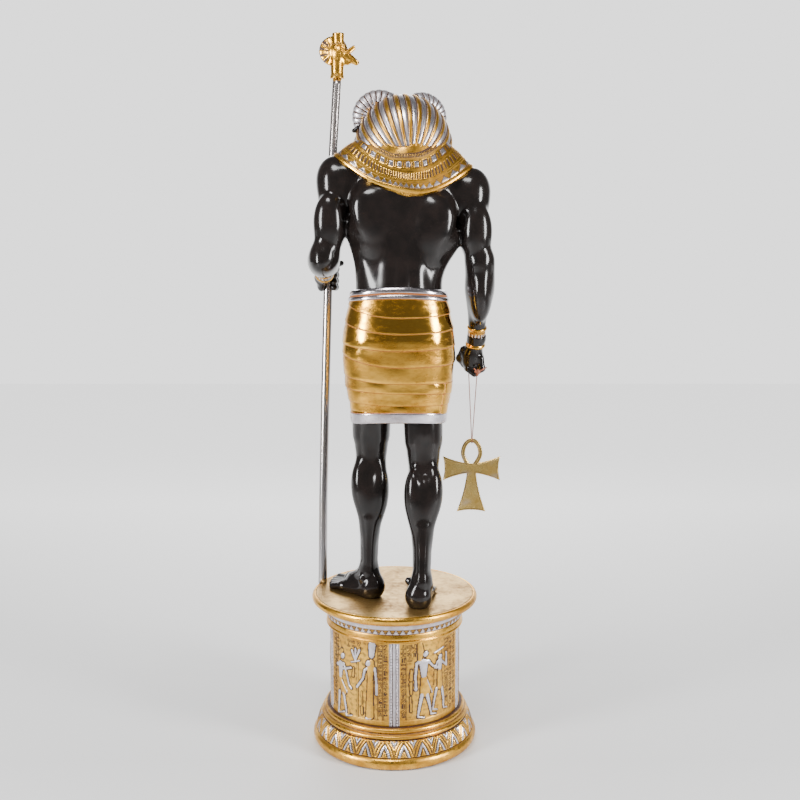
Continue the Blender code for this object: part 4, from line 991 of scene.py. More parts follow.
def lappet(side):
    """Front fall of the headdress: a crowned strip with level bands."""
    rows, tone, dirt = [], [], []
    top = 0.03 if side < 0 else 0.0
    zs = np.linspace(1.475, 1.272, 84)
    turn = np.linspace(0, 2 * math.pi, 40, endpoint=False)
    for z in zs:
        y, half, out = [np.interp(-z, (-1.475, -1.42, -1.35, -1.27), v) for v in
                        ((0.0, -0.020, -0.036, -0.052), (0.030, 0.029, 0.026, 0.022),
                         (0.088, 0.084, 0.076, 0.068))]
        band = ((1.475 - z) / 0.0105) % 1.0
        rib = ramp(band, 0.0, 0.14) * (1 - ramp(band, 0.44, 0.58))
        c, s = np.cos(turn), np.sin(turn)
        reach = (np.abs(c) ** 3 + np.abs(s) ** 3) ** (-1 / 3)
        grow = 0.0018 * (rib - 1)
        x = -0.028 + side * out + (half + grow) * reach * c
        rows.append(lift(np.stack([x, y + 0.022 + (0.026 + grow) * reach * s, np.full(40, z - top)], 1)))
        tone.append(np.full(40, 1 - rib))
        dirt.append(np.full(40, 0.9 * sum(np.exp(-((band - at) / 0.07) ** 2) for at in (0.04, 0.52))))
    turned("lappet_" + ("left" if side > 0 else "right"), rows, dress_leaf, "figure",
           {"tone": tone, "dirt": dirt})


lappet(1)
lappet(-1)

# %% [markdown]
# ## Ribbed horns
# The horns curl beside the head, silvered, with a cut between every ridge. Sweeping a circle along a
# curl and swelling it at every ridge gives the ribs for the price of a plain tube.

# %% Horns
HORN_RADIUS = 0.058


def swept(points, radii, sides, up=(0.0, 1.0, 0.0)):
    pts = np.asarray(points, float)
    along = np.gradient(pts, axis=0)
    along /= np.linalg.norm(along, axis=1)[:, None]
    side = np.cross(np.asarray(up, float), along)
    side /= np.linalg.norm(side, axis=1)[:, None]
    other = np.cross(along, side)
    turn = np.linspace(0, 2 * math.pi, sides, endpoint=False)
    r = np.asarray(radii, float)
    r = r[:, None] if r.ndim == 1 else r
    around = side[:, None] * (r * np.cos(turn))[..., None] + other[:, None] * (r * np.sin(turn))[..., None]
    return pts[:, None] + around


def horn(side, ridges=22, fine=9):
    hub = np.array((0.040, 0.050, 1.560) if side > 0 else (-0.086, 0.030, 1.555))
    out = SIDE * side
    hub = hub + out * 0.011 + np.array([0.0, 0.0, -0.003])
    t = np.linspace(0, 1, ridges * fine + 1)
    turn = np.radians(-38 + 300 * t)
    sweep = HORN_RADIUS * (1.0 - 0.42 * t ** 1.5)
    points = hub + out * (sweep * np.sin(turn))[:, None] + FACE * (0.060 * t)[:, None]
    points[:, 2] += sweep * np.cos(turn)
    wave = np.abs(np.sin(math.pi * ridges * t))
    radii = (0.0300 * (1 - t) ** 0.75 + 0.006) * (0.915 + 0.090 * wave ** 0.6)
    rows = swept(lift(points), radii, 30, FACE)
    ones = np.ones((len(t), 30))
    dirt = ones * (1.1 * np.exp(-(wave / 0.42) ** 2) + 0.05)[:, None]
    turned("horn_" + ("left" if side > 0 else "right"), rows, horn_leaf, "figure",
           {"tone": ones, "dirt": dirt})


horn(1)
horn(-1)

# %% [markdown]
# ## Broad collar
# The collar lies on the shoulders, so its points are found by sending rays out of the chest until they
# leave the flesh. Bands of beads, squares, slots and triangles are then raised on that surface by number,
# with gold, silver and brown stored beside the height.

# %% Collar
COLLAR_HUB = np.array([-0.030, 0.090, 1.220])


def ray_surface(parts, hub, ways, level):
    """First point on each ray where the field comes out to the given level."""
    steps = np.arange(0.02, 0.42, 0.002)
    p = hub + ways[:, None, :] * steps[None, :, None]
    f = field(p.reshape(-1, 3), parts).reshape(len(ways), len(steps)) - level
    last = np.clip(np.argmax(f >= 0, axis=1) - 1, 0, len(steps) - 2)
    rows = np.arange(len(ways))
    a, b = f[rows, last], f[rows, last + 1]
    t = steps[last] + 0.002 * np.clip(-a / np.maximum(b - a, 1e-9), 0, 1)
    return hub + ways * t[:, None]


def collar_rim(t):
    """Elevation of the rim seen from the hub: left, back, right, front."""
    c, s = math.cos(t), math.sin(t)
    side = 45.5 if c > 0 else 41.5
    sway = 3.6 * math.exp(-((t - 1.25) / 0.55) ** 2) - 2.6 * math.exp(-((t - 2.55) / 0.50) ** 2)
    return side * c * c + (44.0 if s > 0 else 36.0) * s * s + sway


def collar_bands(share, turn):
    """Height, silver and brown of the carving at a share of the way from the hidden edge to the rim."""
    b = (share - 0.15) / 0.85
    inside = lambda lo, hi, soft=0.010: ramp(b, lo - soft, lo + soft) * (1 - ramp(b, hi - soft, hi + soft))
    line = lambda at: np.exp(-((b - at) / 0.011) ** 2)
    around = lambda count: (turn * count / (2 * math.pi)) % 1.0
    beads = inside(0.01, 0.075) * np.sin(turn * 62) ** 2
    from_square = np.abs(around(24) - 0.5)
    square = inside(0.165, 0.280) * (1 - ramp(from_square, 0.19, 0.23))
    frame = inside(0.145, 0.300) * (1 - ramp(from_square, 0.27, 0.31)) * (1 - square)
    notch = inside(0.165, 0.280) * ramp(from_square, 0.43, 0.46)
    slot = inside(0.42, 0.60) * (1 - ramp(np.abs(around(88) - 0.5), 0.16, 0.26))
    up = 1 - np.abs(around(40) * 2 - 1)
    v = 1 - np.clip((b - 0.735) / 0.135, 0, 1)
    triangle = inside(0.735, 0.870) * ramp(up - v * 0.95, 0.08, 0.16)
    outline = inside(0.720, 0.885) * np.exp(-((up - v * 0.95 - 0.02) / 0.085) ** 2)
    rim = np.sqrt(np.clip(1 - ((b - 0.952) / 0.050) ** 2, 0, 1))
    height = (0.0016 * beads + 0.0004 * square - 0.0008 * (frame + notch) - 0.0014 * slot
              + 0.0007 * triangle + 0.0020 * rim)
    brown = inside(-0.02, 0.088) * (1.2 - 1.15 * beads) + 1.1 * (frame + notch + outline) + 1.2 * slot + 0.06
    for at, depth in ((0.115, 0.7), (0.36, 0.5), (0.66, 0.6), (0.712, 0.8), (0.897, 1.0)):
        brown = brown + depth * line(at)
    return height, np.maximum(square, triangle), np.clip(brown, 0, 1.2)


def collar_rows(coarse=144, fine=576):
    turn = np.linspace(0, 2 * math.pi, coarse, endpoint=False)
    shares = np.linspace(-0.22, 1.03, 34)
    rim = np.array([collar_rim(t) for t in turn])
    cloth = [p for p in torso_parts() + arms if not p[4]]
    reach = []
    for level in (-0.010, 0.011):
        e = np.radians(66 + (rim[None, :] - 66) * shares[:, None])
        ways = np.stack([np.cos(e) * np.cos(turn), np.cos(e) * np.sin(turn), np.sin(e)], -1).reshape(-1, 3)
        out = ray_surface(cloth, COLLAR_HUB, ways, level) - COLLAR_HUB
        far = np.linalg.norm(out, axis=1).reshape(len(shares), coarse)
        soft = sum(np.roll(far, k, axis=1) for k in range(-7, 8)) / 15
        far = np.maximum(far, soft)
        far = sum(np.roll(far, k, axis=1) for k in range(-5, 6)) / 11
        first = far[0] + 0.036 * np.abs(np.cos(turn)) ** 1.5
        tilt = np.radians(66 + (rim[None] - 66) * np.array(shares)[:, None])
        chord = first * far[-1] * np.sin(tilt[0] - tilt[-1])
        chord = chord / (first * np.sin(tilt[0] - tilt) + far[-1] * np.sin(tilt - tilt[-1]))
        bow = (1 + 0.025 * np.sin(math.pi * np.linspace(0, 1, len(shares))))[:, None]
        reach.append(np.maximum(far, chord * bow))
    fine_turn = np.linspace(0, 2 * math.pi, fine, endpoint=False)
    wrap = np.append(turn, 2 * math.pi)

    def layer(share, height):
        low = [np.interp(fine_turn, wrap, np.append(row, row[0])) for row in
               (np.stack([np.interp(share, shares, reach[k][:, j]) for j in range(coarse)]) for k in (0, 1))]
        dist = low[0] + (low[1] - low[0]) * (height + 0.010) / 0.021
        e = np.radians(66 + (np.interp(fine_turn, wrap, np.append(rim, rim[0])) - 66) * share)
        way = np.stack([np.cos(e) * np.cos(fine_turn), np.cos(e) * np.sin(fine_turn), np.sin(e)], -1)
        return lift(COLLAR_HUB + way * dist[:, None])

    rows, tone, dirt = [], [], []
    for share in np.concatenate([[-0.20], np.linspace(-0.198, 1.0, 72)]):
        h, silver, brown = collar_bands(np.full(fine, (share + 0.2) / 1.2), fine_turn)
        rows.append(layer(share, 0.0080 + h - (0.004 if share == -0.20 else 0.0)))
        tone.append(silver)
        dirt.append(brown)
    under = ((1.008, 0.0085), (1.010, 0.004), (1.004, -0.004), (0.97, -0.008), (0.6, -0.010), (0.2, -0.010),
             (-0.2, -0.006))
    for share, height in under:
        rows.append(layer(share, np.full(fine, height)))
        tone.append(np.zeros(fine))
        dirt.append(np.full(fine, 0.1))
    return rows, {"tone": tone, "dirt": dirt}


rows, marks = collar_rows()
turned("collar", rows, collar_leaf, "figure", marks, around=True)

# %% [markdown]
# ## Pleated kilt
# Eight wrapped pleats overhang one another, each with an orange-brown line in its shadow, under a
# belt of a rounded and a narrow silver band and over a plain silver hem. Rings of points follow each
# pleat edge, which dips and rises round the body.

# %% Kilt
BELT_TOP, BELT_LOW, KILT_HEM, HEM_BAND = 1.037, 1.002, 0.592, 0.036
KILT_Z = (0.560, 0.597, 0.620, 0.643, 0.666, 0.689, 0.712, 0.757, 0.802, 0.848, 0.892, 0.937,
          0.982, 1.004, 1.037, 1.08)
KILT_HALF = (0.150, 0.1520, 0.1535, 0.1585, 0.1625, 0.1680, 0.1725, 0.1755, 0.1805, 0.1800, 0.1775, 0.1690,
             0.1590, 0.1550, 0.1375, 0.137)
PLEATS = ((0.979, 0.942, 0.953), (0.925, 0.892, 0.902), (0.857, 0.839, 0.848), (0.825, 0.786, 0.793),
          (0.754, 0.733, 0.731), (0.712, 0.702, 0.692), (0.669, 0.661, 0.657), (0.637, 0.638, 0.623))


def kilt_ring(edge, proud, drop=0.0, count=224):
    t = np.linspace(0, 2 * math.pi, count, endpoint=False)
    c, s = np.cos(t), np.sin(t)
    left, back, right = edge
    z = np.where(c > 0, left, right) * c * c - drop
    z = z + np.where(s > 0, back, (left + right) / 2 - 0.004) * s * s
    half = np.interp(z, KILT_Z, KILT_HALF) + proud
    deep = np.interp(z, (0.56, 0.60, 0.75, 0.87, 0.95, 1.00, 1.04),
                     (0.106, 0.108, 0.121, 0.128, 0.124, 0.115, 0.104)) + proud
    mid = np.interp(z, (0.60, 0.87, 1.00), (0.0525, 0.086, 0.088))
    r = (np.abs(c) ** 2.3 + np.abs(s) ** 2.3) ** (-1.0 / 2.3)
    return lift(np.stack([-0.0145 + half * r * c, mid + deep * r * s, z], 1))


def kilt_rows(count=224):
    rows, tone, dirt = [], [], []
    t = np.linspace(0, 2 * math.pi, count, endpoint=False)
    front = np.abs((t - 1.5 * math.pi + math.pi) % (2 * math.pi) - math.pi)
    apron = 1 - ramp(front, 0.30, 0.34)

    def put(edge, proud, drop, silver, brown):
        rows.append(kilt_ring(edge, proud, drop, count))
        tone.append(np.full(count, silver))
        dirt.append(np.full(count, 1.0) * brown)

    belt = lambda z: (z - 0.014, z, z - 0.014)
    bulge = lambda s, mid, half: math.sqrt(max(0.0, 1 - ((s - mid) / half) ** 2))
    put(belt(BELT_TOP), -0.012, 0.0, 1, 0.3)
    for s in np.linspace(0, 1, 24):
        if s < 0.50:
            proud = 0.0012 + 0.0042 * bulge(s, 0.25, 0.25)
            brown = 0.1 + 0.5 * ramp(s, 0.42, 0.50)
        elif s < 0.64:
            proud, brown = 0.0002, 0.95
        else:
            proud = 0.0012 + 0.0030 * bulge(s, 0.82, 0.18)
            brown = 0.5 * (1 - ramp(s, 0.64, 0.72))
        put(belt(BELT_TOP), proud, s * (BELT_TOP - BELT_LOW), 0.0 if 0.50 <= s < 0.64 else 1.0, brown)
    hem_top = KILT_HEM + HEM_BAND
    edges = [belt(BELT_LOW)] + list(PLEATS) + [(hem_top, hem_top + 0.012, hem_top)]
    for n, (a, b) in enumerate(zip(edges, edges[1:])):
        a, b = np.array(a), np.array(b)
        flutes = 0.0014 * np.abs(np.sin(t * 75)) * apron
        for s in (0.0, 0.03, 0.08, 0.18, 0.34, 0.50, 0.66, 0.82, 0.93, 0.98, 1.0):
            swell = -0.0012 + 0.0030 * s - 0.0010 * ramp(s, 0.955, 1.0)
            wobble = 0.0008 * np.sin(t * 5 + n * 1.7) + 0.0004 * np.sin(t * 11 - n * 2.3)
            wobble = wobble * math.sin(math.pi * s)
            brown = 1.0 * math.exp(-(s / 0.055) ** 2) + 0.55 * ramp(s, 0.95, 1.0)
            fold = 0.0028 * ramp(t, 2.50, 2.54) * (1 - ramp(t, 3.4, 3.9)) * (n >= 5)
            brown = brown + 0.8 * np.exp(-((front - 0.325) / 0.018) ** 2) * (front < 0.6)
            brown = brown + 0.9 * np.exp(-((t - 2.515) / 0.016) ** 2) * (n >= 5)
            proud = swell + wobble + fold + (0.0050 + flutes) * apron
            put(tuple(a * (1 - s) + b * s), proud, 0.0, 0.0, brown)
    hem = (KILT_HEM, KILT_HEM + 0.012, KILT_HEM)
    for s in np.linspace(0, 1, 12):
        round_off = math.sqrt(max(0.0, 1 - (2 * s - 1) ** 4))
        proud = 0.0022 + 0.0030 * round_off + 0.0050 * apron
        put(hem, proud, -HEM_BAND * (1 - s), 1.0, 0.9 * math.exp(-(s / 0.10) ** 2))
    put(hem, -0.010, 0.0, 1.0, 0.5)
    put(hem, -0.014, -0.016, 0.0, 0.9)
    return rows, {"tone": tone, "dirt": dirt}


rows, marks = kilt_rows()
turned("kilt", rows, kilt_leaf, "figure", marks)

# %% [markdown]
# ## Wrist cuffs
# Two gold cuffs flare at both rims and carry upright slots with silver between them.

# %% Cuffs
def cuff(name, pair, count=96):
    a, b = pair
    s = np.linspace(0, 1, 34)
    r = 0.0293 + 0.0032 * np.exp(-((s - 0.06) / 0.07) ** 2) + 0.0036 * np.exp(-((s - 0.93) / 0.08) ** 2)
    turn = np.linspace(0, 2 * math.pi, count, endpoint=False)
    inside = lambda lo, hi: (ramp(s, lo, lo + 0.04) * (1 - ramp(s, hi - 0.04, hi)))[:, None]
    slot_mask = ramp(np.cos(turn * 16), 0.30, 0.70)[None] * inside(0.24, 0.78)
    plate = ramp(np.cos(turn * 16 + math.pi), 0.0, 0.5)[None] * inside(0.26, 0.76)
    ring = (np.exp(-((s - 0.20) / 0.025) ** 2) + np.exp(-((s - 0.80) / 0.025) ** 2))[:, None]
    radii = r[:, None] - 0.0016 * slot_mask - 0.0006 * ring
    rows = swept([lift(a + (b - a) * v) for v in s], radii, count, (1.0, 0.0, 0.0))
    turned(name, rows, trim_leaf, "figure",
           {"tone": plate, "dirt": np.clip(slot_mask + 0.8 * ring, 0, 1.2)})


cuff("cuff_left", cuff_left)
cuff("cuff_right", cuff_right)

# %% [markdown]
# ## Staff
# The staff is a straight tube as bought, silvered, and leans outward as the photograph shows. It only
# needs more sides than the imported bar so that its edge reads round.

# %% Staff tube
stations = np.linspace(0, 1, 90)
walk = np.array(STAFF)
staff_line = np.stack([np.interp(stations * 1.722, walk[:, 2], walk[:, k]) for k in range(3)], 1)
turn = np.linspace(0, 2 * math.pi, 48, endpoint=False)
rows = [lift(p + 0.015 * np.stack([np.cos(turn), np.sin(turn), 0 * turn], 1)) for p in staff_line]
turned("staff_tube", rows, steel, "staff_rod")

# %% [markdown]
# ## Head of the staff
# A small gilt ram's head with a tall cap, curled horns, a pleated mane behind and a plain collar at its
# foot. It is carved as a field like the body, only finer.

# %% Staff head
def finial_parts():
    at = lambda x, y, z: (0.195 + x, -0.2509 + y, z)
    parts = [
        cone(at(0, 0, -0.010), at(0, 0, 0.0010), 0.0240, 0.0236, 0.002),
        cone(at(0, 0, -0.004), at(-0.001, 0, 0.056), 0.0218, 0.0226, 0.004),
        blob(at(-0.003, 0, 0.088), (0.0290, 0.0235, 0.0320), k=0.010),
        cone(at(-0.010, 0, 0.086), at(-0.046, 0, 0.065), 0.0225, 0.0130, 0.008),
        cone(at(-0.046, 0, 0.065), at(-0.0655, 0, 0.053), 0.0128, 0.0098, 0.005),
        cone(at(-0.004, 0, 0.062), at(-0.036, 0, 0.052), 0.0150, 0.0080, 0.008),
        cone(at(-0.0047, 0, 0.110), at(-0.0047, 0, 0.160), 0.0196, 0.0214, 0.004),
        blob(at(0.0118, 0, 0.0905), (0.0485, 0.0105, 0.0485), k=0.003),
        blob(at(0.0118, 0, 0.0905), (0.0330, 0.0150, 0.0330), k=0.004),
    ]
    for s in (1, -1):
        parts.append(cone(at(-0.034, s * 0.013, 0.084), at(-0.058, s * 0.019, 0.102), 0.0075, 0.0045, 0.005))
        ring = [at(-0.010 + 0.0155 * math.cos(a), s * 0.0215, 0.096 + 0.0155 * math.sin(a))
                for a in [math.radians(v) for v in (210, 150, 90, 30, -30, -90)]]
        for n, (a, b) in enumerate(zip(ring, ring[1:])):
            parts.append(cone(a, b, 0.0050 - 0.0004 * n, 0.0046 - 0.0004 * n, 0.002))
    # the round disc on the neck side is the mane
    return parts


def finial_extra():
    """Slots between the locks of the mane, eye sockets and nostrils."""
    at = lambda x, y, z: (0.195 + x, -0.2509 + y, z)
    parts = []
    for s in (1, -1):
        for v in (78, 54, 30, 6, -18, -42, -66):
            c, d = math.cos(math.radians(v)), math.sin(math.radians(v))
            root = at(0.0118 + 0.022 * c, s * 0.0125, 0.0905 + 0.022 * d)
            tip = at(0.0118 + 0.051 * c, s * 0.0025, 0.0905 + 0.051 * d)
            parts.append(cone(root, tip, 0.0014, 0.0022, 0.002, True))
        parts.append(cone(at(-0.030, s * 0.0195, 0.0800), at(-0.037, s * 0.0170, 0.0765), 0.0026, 0.0018,
                          0.003, True))
        parts.append(cone(at(-0.068, s * 0.0085, 0.0560), at(-0.074, s * 0.0060, 0.0540), 0.0016, 0.0014,
                          0.002, True))
    return parts


finial_lo, finial_hi = np.array((0.105, -0.300, -0.012)), np.array((0.270, -0.200, 0.160))
finial_cuts = [past((0, 0, 0), (0, 0, -1)), past((0, 0, 0.148), (0, 0, 1))]
verts, quads = surface_net(finial_parts() + finial_extra(), finial_lo, finial_hi, 0.0019, finial_cuts)
at = np.array((0.195, -0.2509, 0.0))
mane = np.arctan2(verts[:, 2] - 0.083, verts[:, 0] - at[0] - 0.010)
ring_cut = np.exp(-((verts[:, 2] - 0.1115) / 0.0022) ** 2) + np.exp(-((verts[:, 2] - 0.0085) / 0.0016) ** 2)
lock = (mane - math.radians(62)) / math.radians(29) * 2 * math.pi
cut = ramp(np.cos(lock), 0.1, -0.8) * ramp(verts[:, 0] - at[0], 0.022, 0.034)
piece_from("staff_head", verts + np.array([0, 0, PLINTH_HEIGHT + 2 * GAP + 1.722]), quads, trim_leaf,
           "staff_finial",
           {"tone": np.zeros(len(verts)), "dirt": np.clip(1.1 * cut + 0.8 * ring_cut, 0, 1.2)})

# %% [markdown]
# ## Foot, leaf band and mouldings of the plinth
# Round work is a profile turned about the axis. The leaf band is the same kind of ring with a height added:
# palmettes of curved ribs, opening upward and downward in turn, silver and gold on dark brown.

# %% Base of the plinth
def arch(cx, cz, rx, rz, a0, a1, n):
    a = np.radians(np.linspace(a0, a1, n))
    return [(cx + rx * math.cos(v), cz + rz * math.sin(v)) for v in a]


def lathe(name, profile, count, mat, node, marks=None, extra=None):
    p = np.array(profile, float)
    turn = np.linspace(0, 2 * math.pi, count, endpoint=False)
    r = p[:, :1] + (0 if extra is None else extra)
    rows = np.stack([r * np.cos(turn), r * np.sin(turn), np.broadcast_to(p[:, 1:], (len(p), count))], -1)
    zeros = np.zeros((len(p), count))
    marks = {k: zeros + v for k, v in (marks or {"tone": zeros, "dirt": zeros}).items()}
    return turned(name, rows, mat, node, marks)


def brown_lines(p, places, width=0.0014):
    z = np.array(p, float)[:, 1]
    return np.clip(sum(np.exp(-((z - c) / width) ** 2) for c in places), 0, 1)[:, None]


foot = [(0.240, 0.0), (0.262, 0.0)] + arch(0.262, 0.0205, 0.018, 0.0203, -84, 88, 26)
foot += [(0.2560, 0.0412), (0.2400, 0.0414)]
# Brown lines in the joint under the leaf band and along the lowest edge, darker where the foot meets the floor.
lathe("foot_torus", foot, 224, plinth_leaf, "plinth",
      {"tone": np.zeros((len(foot), 1)), "dirt": brown_lines(foot, (0.0405, 0.001), 0.0025) * 0.8})

def leaf_band(rows=38, pitches=26, fine=26):
    """Leaves of curved ribs that open upward, gold and silver in turn, on dark brown."""
    v = np.linspace(0, 1, rows)[:, None]
    cell = np.linspace(0, pitches, pitches * fine, endpoint=False)[None]
    d = np.abs(cell % 1.0 - 0.5) * 2
    phase = 3.0 * d ** 0.9 - 2.4 * v ** 0.8 + 0.45 * np.sin(v * 3.1)
    rib = np.abs(np.sin(math.pi * phase))
    tone = (np.floor(phase) % 3 == 1) * ramp(rib, 0.3, 0.5)
    edge = np.minimum(ramp(v, 0.0, 0.05), 1 - ramp(v, 0.94, 1.0))
    height = 0.0040 * ramp(rib, 0.25, 0.85) * edge - 0.0020 + 0.0032 * (1 - edge)
    dirt = np.clip(1.25 * (1 - ramp(rib, 0.30, 0.62)) * edge + 0.06, 0, 1.2)
    z = 0.0425 + 0.0480 * v[:, 0]
    r = 0.2675 - 0.0140 * v[:, 0] ** 1.5
    profile = [(0.236, 0.0412)] + list(zip(r, z)) + [(0.236, 0.0915)]
    pad = lambda a: np.vstack([np.zeros((1, a.shape[1])), a, np.zeros((1, a.shape[1]))])
    lathe("leaf_band", profile, pitches * fine, plinth_leaf, "plinth",
          {"tone": pad(tone), "dirt": pad(dirt)}, pad(height))


leaf_band()
mould = [(0.232, 0.0908), (0.2500, 0.0910)] + arch(0.2425, 0.0995, 0.0080, 0.0075, -75, 80, 14)
mould += arch(0.2325, 0.1175, 0.0085, 0.0088, -70, 82, 14)
mould += [(0.2260, 0.1275), (0.2190, 0.1285), (0.210, 0.1285)]
lathe("lower_mouldings", mould, 224, plinth_leaf, "plinth",
      {"tone": np.zeros((len(mould), 1)), "dirt": brown_lines(mould, (0.0912, 0.1083, 0.1275), 0.0016)})

# %% [markdown]
# ## Cornice and top
# Above the drum come a bright ring, an orange-gold band, a row of silver triangles and a silver band,
# then a shallow hollow runs out under the rounded gold rim. The top is plain worn bronze.

# %% Cornice
def cornice(count=390):
    pts = [(0.205, 0.4080), (0.2190, 0.4090)] + arch(0.2262, 0.4182, 0.0065, 0.0052, -84, 70, 8)
    pts += [(0.2300, 0.4240)]
    pts += [(0.2319 - 0.0028 * s ** 1.5, 0.4250 + 0.0160 * s) for s in np.linspace(0, 1, 6)]
    pts += [(0.2274, 0.4420)]
    tri_start = len(pts)
    pts += [(0.2280 + 0.0020 * s, 0.4428 + 0.0155 * s) for s in np.linspace(0, 1, 13)]
    tri_end = len(pts)
    pts += [(0.2292, 0.4592)]
    silver_start = len(pts)
    pts += [(0.2312, 0.4597)]
    pts += [(0.2312 + 0.0040 * s ** 2, 0.4604 + 0.0126 * s) for s in np.linspace(0, 1, 7)]
    silver_end = len(pts)
    pts += [(0.2352, 0.4738), (0.2362, 0.4745)]
    pts += [(0.2370 + 0.0365 * s, 0.4750 + 0.0162 * s ** 1.4) for s in np.linspace(0, 1, 7)]
    pts += arch(0.2688, 0.5032, 0.0112, 0.0127, -66, 86, 14) + [(0.2670, 0.5152), (0.2640, 0.5120)]
    n = len(pts)
    tone, dirt, height = np.zeros((n, count)), np.zeros((n, count)), np.zeros((n, count))
    turn = np.linspace(0, 65, count, endpoint=False) % 1.0
    up = 1 - np.abs(turn * 2 - 1)
    for i in range(tri_start, tri_end):
        v = (i - tri_start) / (tri_end - tri_start - 1)
        solid = ramp(up - v * 0.92, 0.04, 0.14) * ramp(v, 0.0, 0.06)
        height[i] = 0.0013 * solid
        tone[i] = solid
        dirt[i] = 1.1 * np.exp(-((up - v * 0.92 - 0.03) / 0.10) ** 2) + 0.55 * (1 - solid)
    tone[silver_start:silver_end] = 1.0
    z = np.array(pts)[:, 1]
    grooves = ((0.4090, 0.0014, 1.0), (0.4240, 0.0006, 0.5), (0.4420, 0.0008, 1.0), (0.4592, 0.0006, 0.9),
               (0.4655, 0.0006, 0.35), (0.4740, 0.0008, 1.0))
    for c, w, a in grooves:
        dirt += (a * np.exp(-((z - c) / w) ** 2))[:, None]
    lathe("cornice", pts, count, plinth_leaf, "plinth",
          {"tone": tone, "dirt": np.clip(dirt, 0, 1.2)}, height)


cornice()
disc = [(0.2660, 0.4950), (0.2672, 0.5140), (0.2660, 0.5158), (0.2630, 0.5160)]
disc += [(r, PLINTH_HEIGHT) for r in (0.20, 0.10, 0.02)]
lathe("plinth_top", disc, 192, top_leaf, "plinth")
core = [(0.200, 0.1200), (0.2185, 0.1200), (0.2185, 0.4150), (0.200, 0.4150)]
lathe("drum_core", core, 128, plinth_leaf, "plinth")

# %% [markdown]
# ## Beaded strips
# Five upright strips divide the drum: two rows of beads with a plain fillet between them.

# %% Strips
DRUM_RADIUS = 0.221
DRUM_LOW, DRUM_HIGH = 0.1285, 0.4110


def drum_slab(name, phi0, phi1, columns, rows, base, relief, mat):
    """Curved slab on the drum. Angles are degrees from the back, growing toward the right arm (-X)."""
    phi, z = np.linspace(phi0, phi1, columns), np.linspace(DRUM_LOW, DRUM_HIGH, rows)
    full = (rows, columns)
    height, marks = relief(np.broadcast_to(phi, full), np.broadcast_to(z[:, None], full))
    r = base + height
    a = np.radians(90 + phi)
    grid = np.stack([r * np.cos(a), r * np.sin(a), np.broadcast_to(z[:, None], r.shape)], -1)
    deep, ends = DRUM_RADIUS - 0.007, a[[0, -1]]
    inner = np.stack([np.stack([deep * np.cos(ends), deep * np.sin(ends), np.full(2, h)], -1) for h in z])
    ring = np.concatenate([grid, inner[:, ::-1]], axis=1)
    values = {k: np.concatenate([v, np.zeros((rows, 2))], axis=1) for k, v in marks.items()}
    return turned(name, ring, mat, "plinth", values)


def strip_relief(phi, z):
    u = (phi - phi.mean()) / (phi.max() - phi.min()) * 2
    pitch = (z - DRUM_LOW) / (DRUM_HIGH - DRUM_LOW) * 54 % 1.0 * 2 - 1
    bead = np.zeros(u.shape)
    for c in (-0.60, 0.60):
        bead = np.maximum(bead, np.sqrt(np.clip(1 - ((u - c) / 0.20) ** 2 - (pitch / 0.90) ** 2, 0, 1)))
    fillet = 1 - ramp(np.abs(u), 0.24, 0.30)
    rim = ramp(np.abs(u), 0.88, 0.93)
    height = 0.0030 * bead + 0.0018 * fillet + 0.0016 * rim
    brown = 0.95 * (1 - np.clip(bead * 2.2, 0, 1)) * (1 - fillet) * (1 - rim) + 0.12
    return height, {"tone": np.ones(u.shape), "dirt": np.clip(brown, 0, 1)}


for n in range(5):
    drum_slab("strip_%d" % (n + 1), 72 * n - 4.3, 72 * n + 4.3, 26, 190, DRUM_RADIUS, strip_relief,
              panel_leaf)

# %% [markdown]
# ## Carved panels
# Between the strips stand figures in low relief with columns of signs. The signs are plain strokes, dots
# and hooks in rows, not writing, and the faces are bare ovals. Each stroke is a rounded bar on the unrolled
# drum; its distance gives the height, the brown outline round it and whether it is silvered.

# %% Relief from strokes
MM_PER_DEGREE = DRUM_RADIUS * math.pi / 180


def stroke_relief(strokes, edge0, edge1):
    def relief(phi, z):
        u = phi * MM_PER_DEGREE
        height, tone, near = np.zeros(u.shape), np.zeros(u.shape), np.full(u.shape, 1.0)
        for p0, z0, p1, z1, ra, rb, rise, silver in strokes:
            x0, x1 = p0 * MM_PER_DEGREE, p1 * MM_PER_DEGREE
            pad = max(ra, rb) + 0.006
            rows = (z[:, 0] > min(z0, z1) - pad) & (z[:, 0] < max(z0, z1) + pad)
            cols = (u[0] > min(x0, x1) - pad) & (u[0] < max(x0, x1) + pad)
            if not rows.any() or not cols.any():
                continue
            part = np.ix_(rows, cols)
            dx, dz = x1 - x0, z1 - z0
            t = np.clip(((u[part] - x0) * dx + (z[part] - z0) * dz) / max(dx * dx + dz * dz, 1e-12), 0, 1)
            r = ra + (rb - ra) * t
            away = np.hypot(u[part] - x0 - t * dx, z[part] - z0 - t * dz)
            h = rise * np.sqrt(np.clip(1 - (away / r) ** 2, 0, 1)) ** 0.8
            over = h > height[part]
            tone[part] = np.where(over, silver, tone[part])
            height[part] = np.maximum(height[part], h)
            near[part] = np.minimum(near[part], (away - r) * (1.0 if max(ra, rb) > 0.003 else 2.2))
        rim = ramp(np.minimum(phi - edge0, edge1 - phi), 0.9, 0.6) + ramp(z, 0.1465, 0.1440)
        rim = rim + ramp(z, DRUM_HIGH - 0.0050, DRUM_HIGH - 0.0035)
        height = height + 0.0016 * np.clip(rim, 0, 1)
        ground = 0.34 + 0.26 * grain(np.stack([u, z, 0 * z], -1), 150.0, edge0)
        dirt = np.exp(-(near / 0.0026) ** 2) * 1.15 + ground
        dirt = np.where(height > 0.0009, 0.06 + 0.16 * (tone < 0.5), dirt)
        return height - 0.0008, {"tone": tone, "dirt": np.clip(dirt, 0, 1.2)}
    return relief


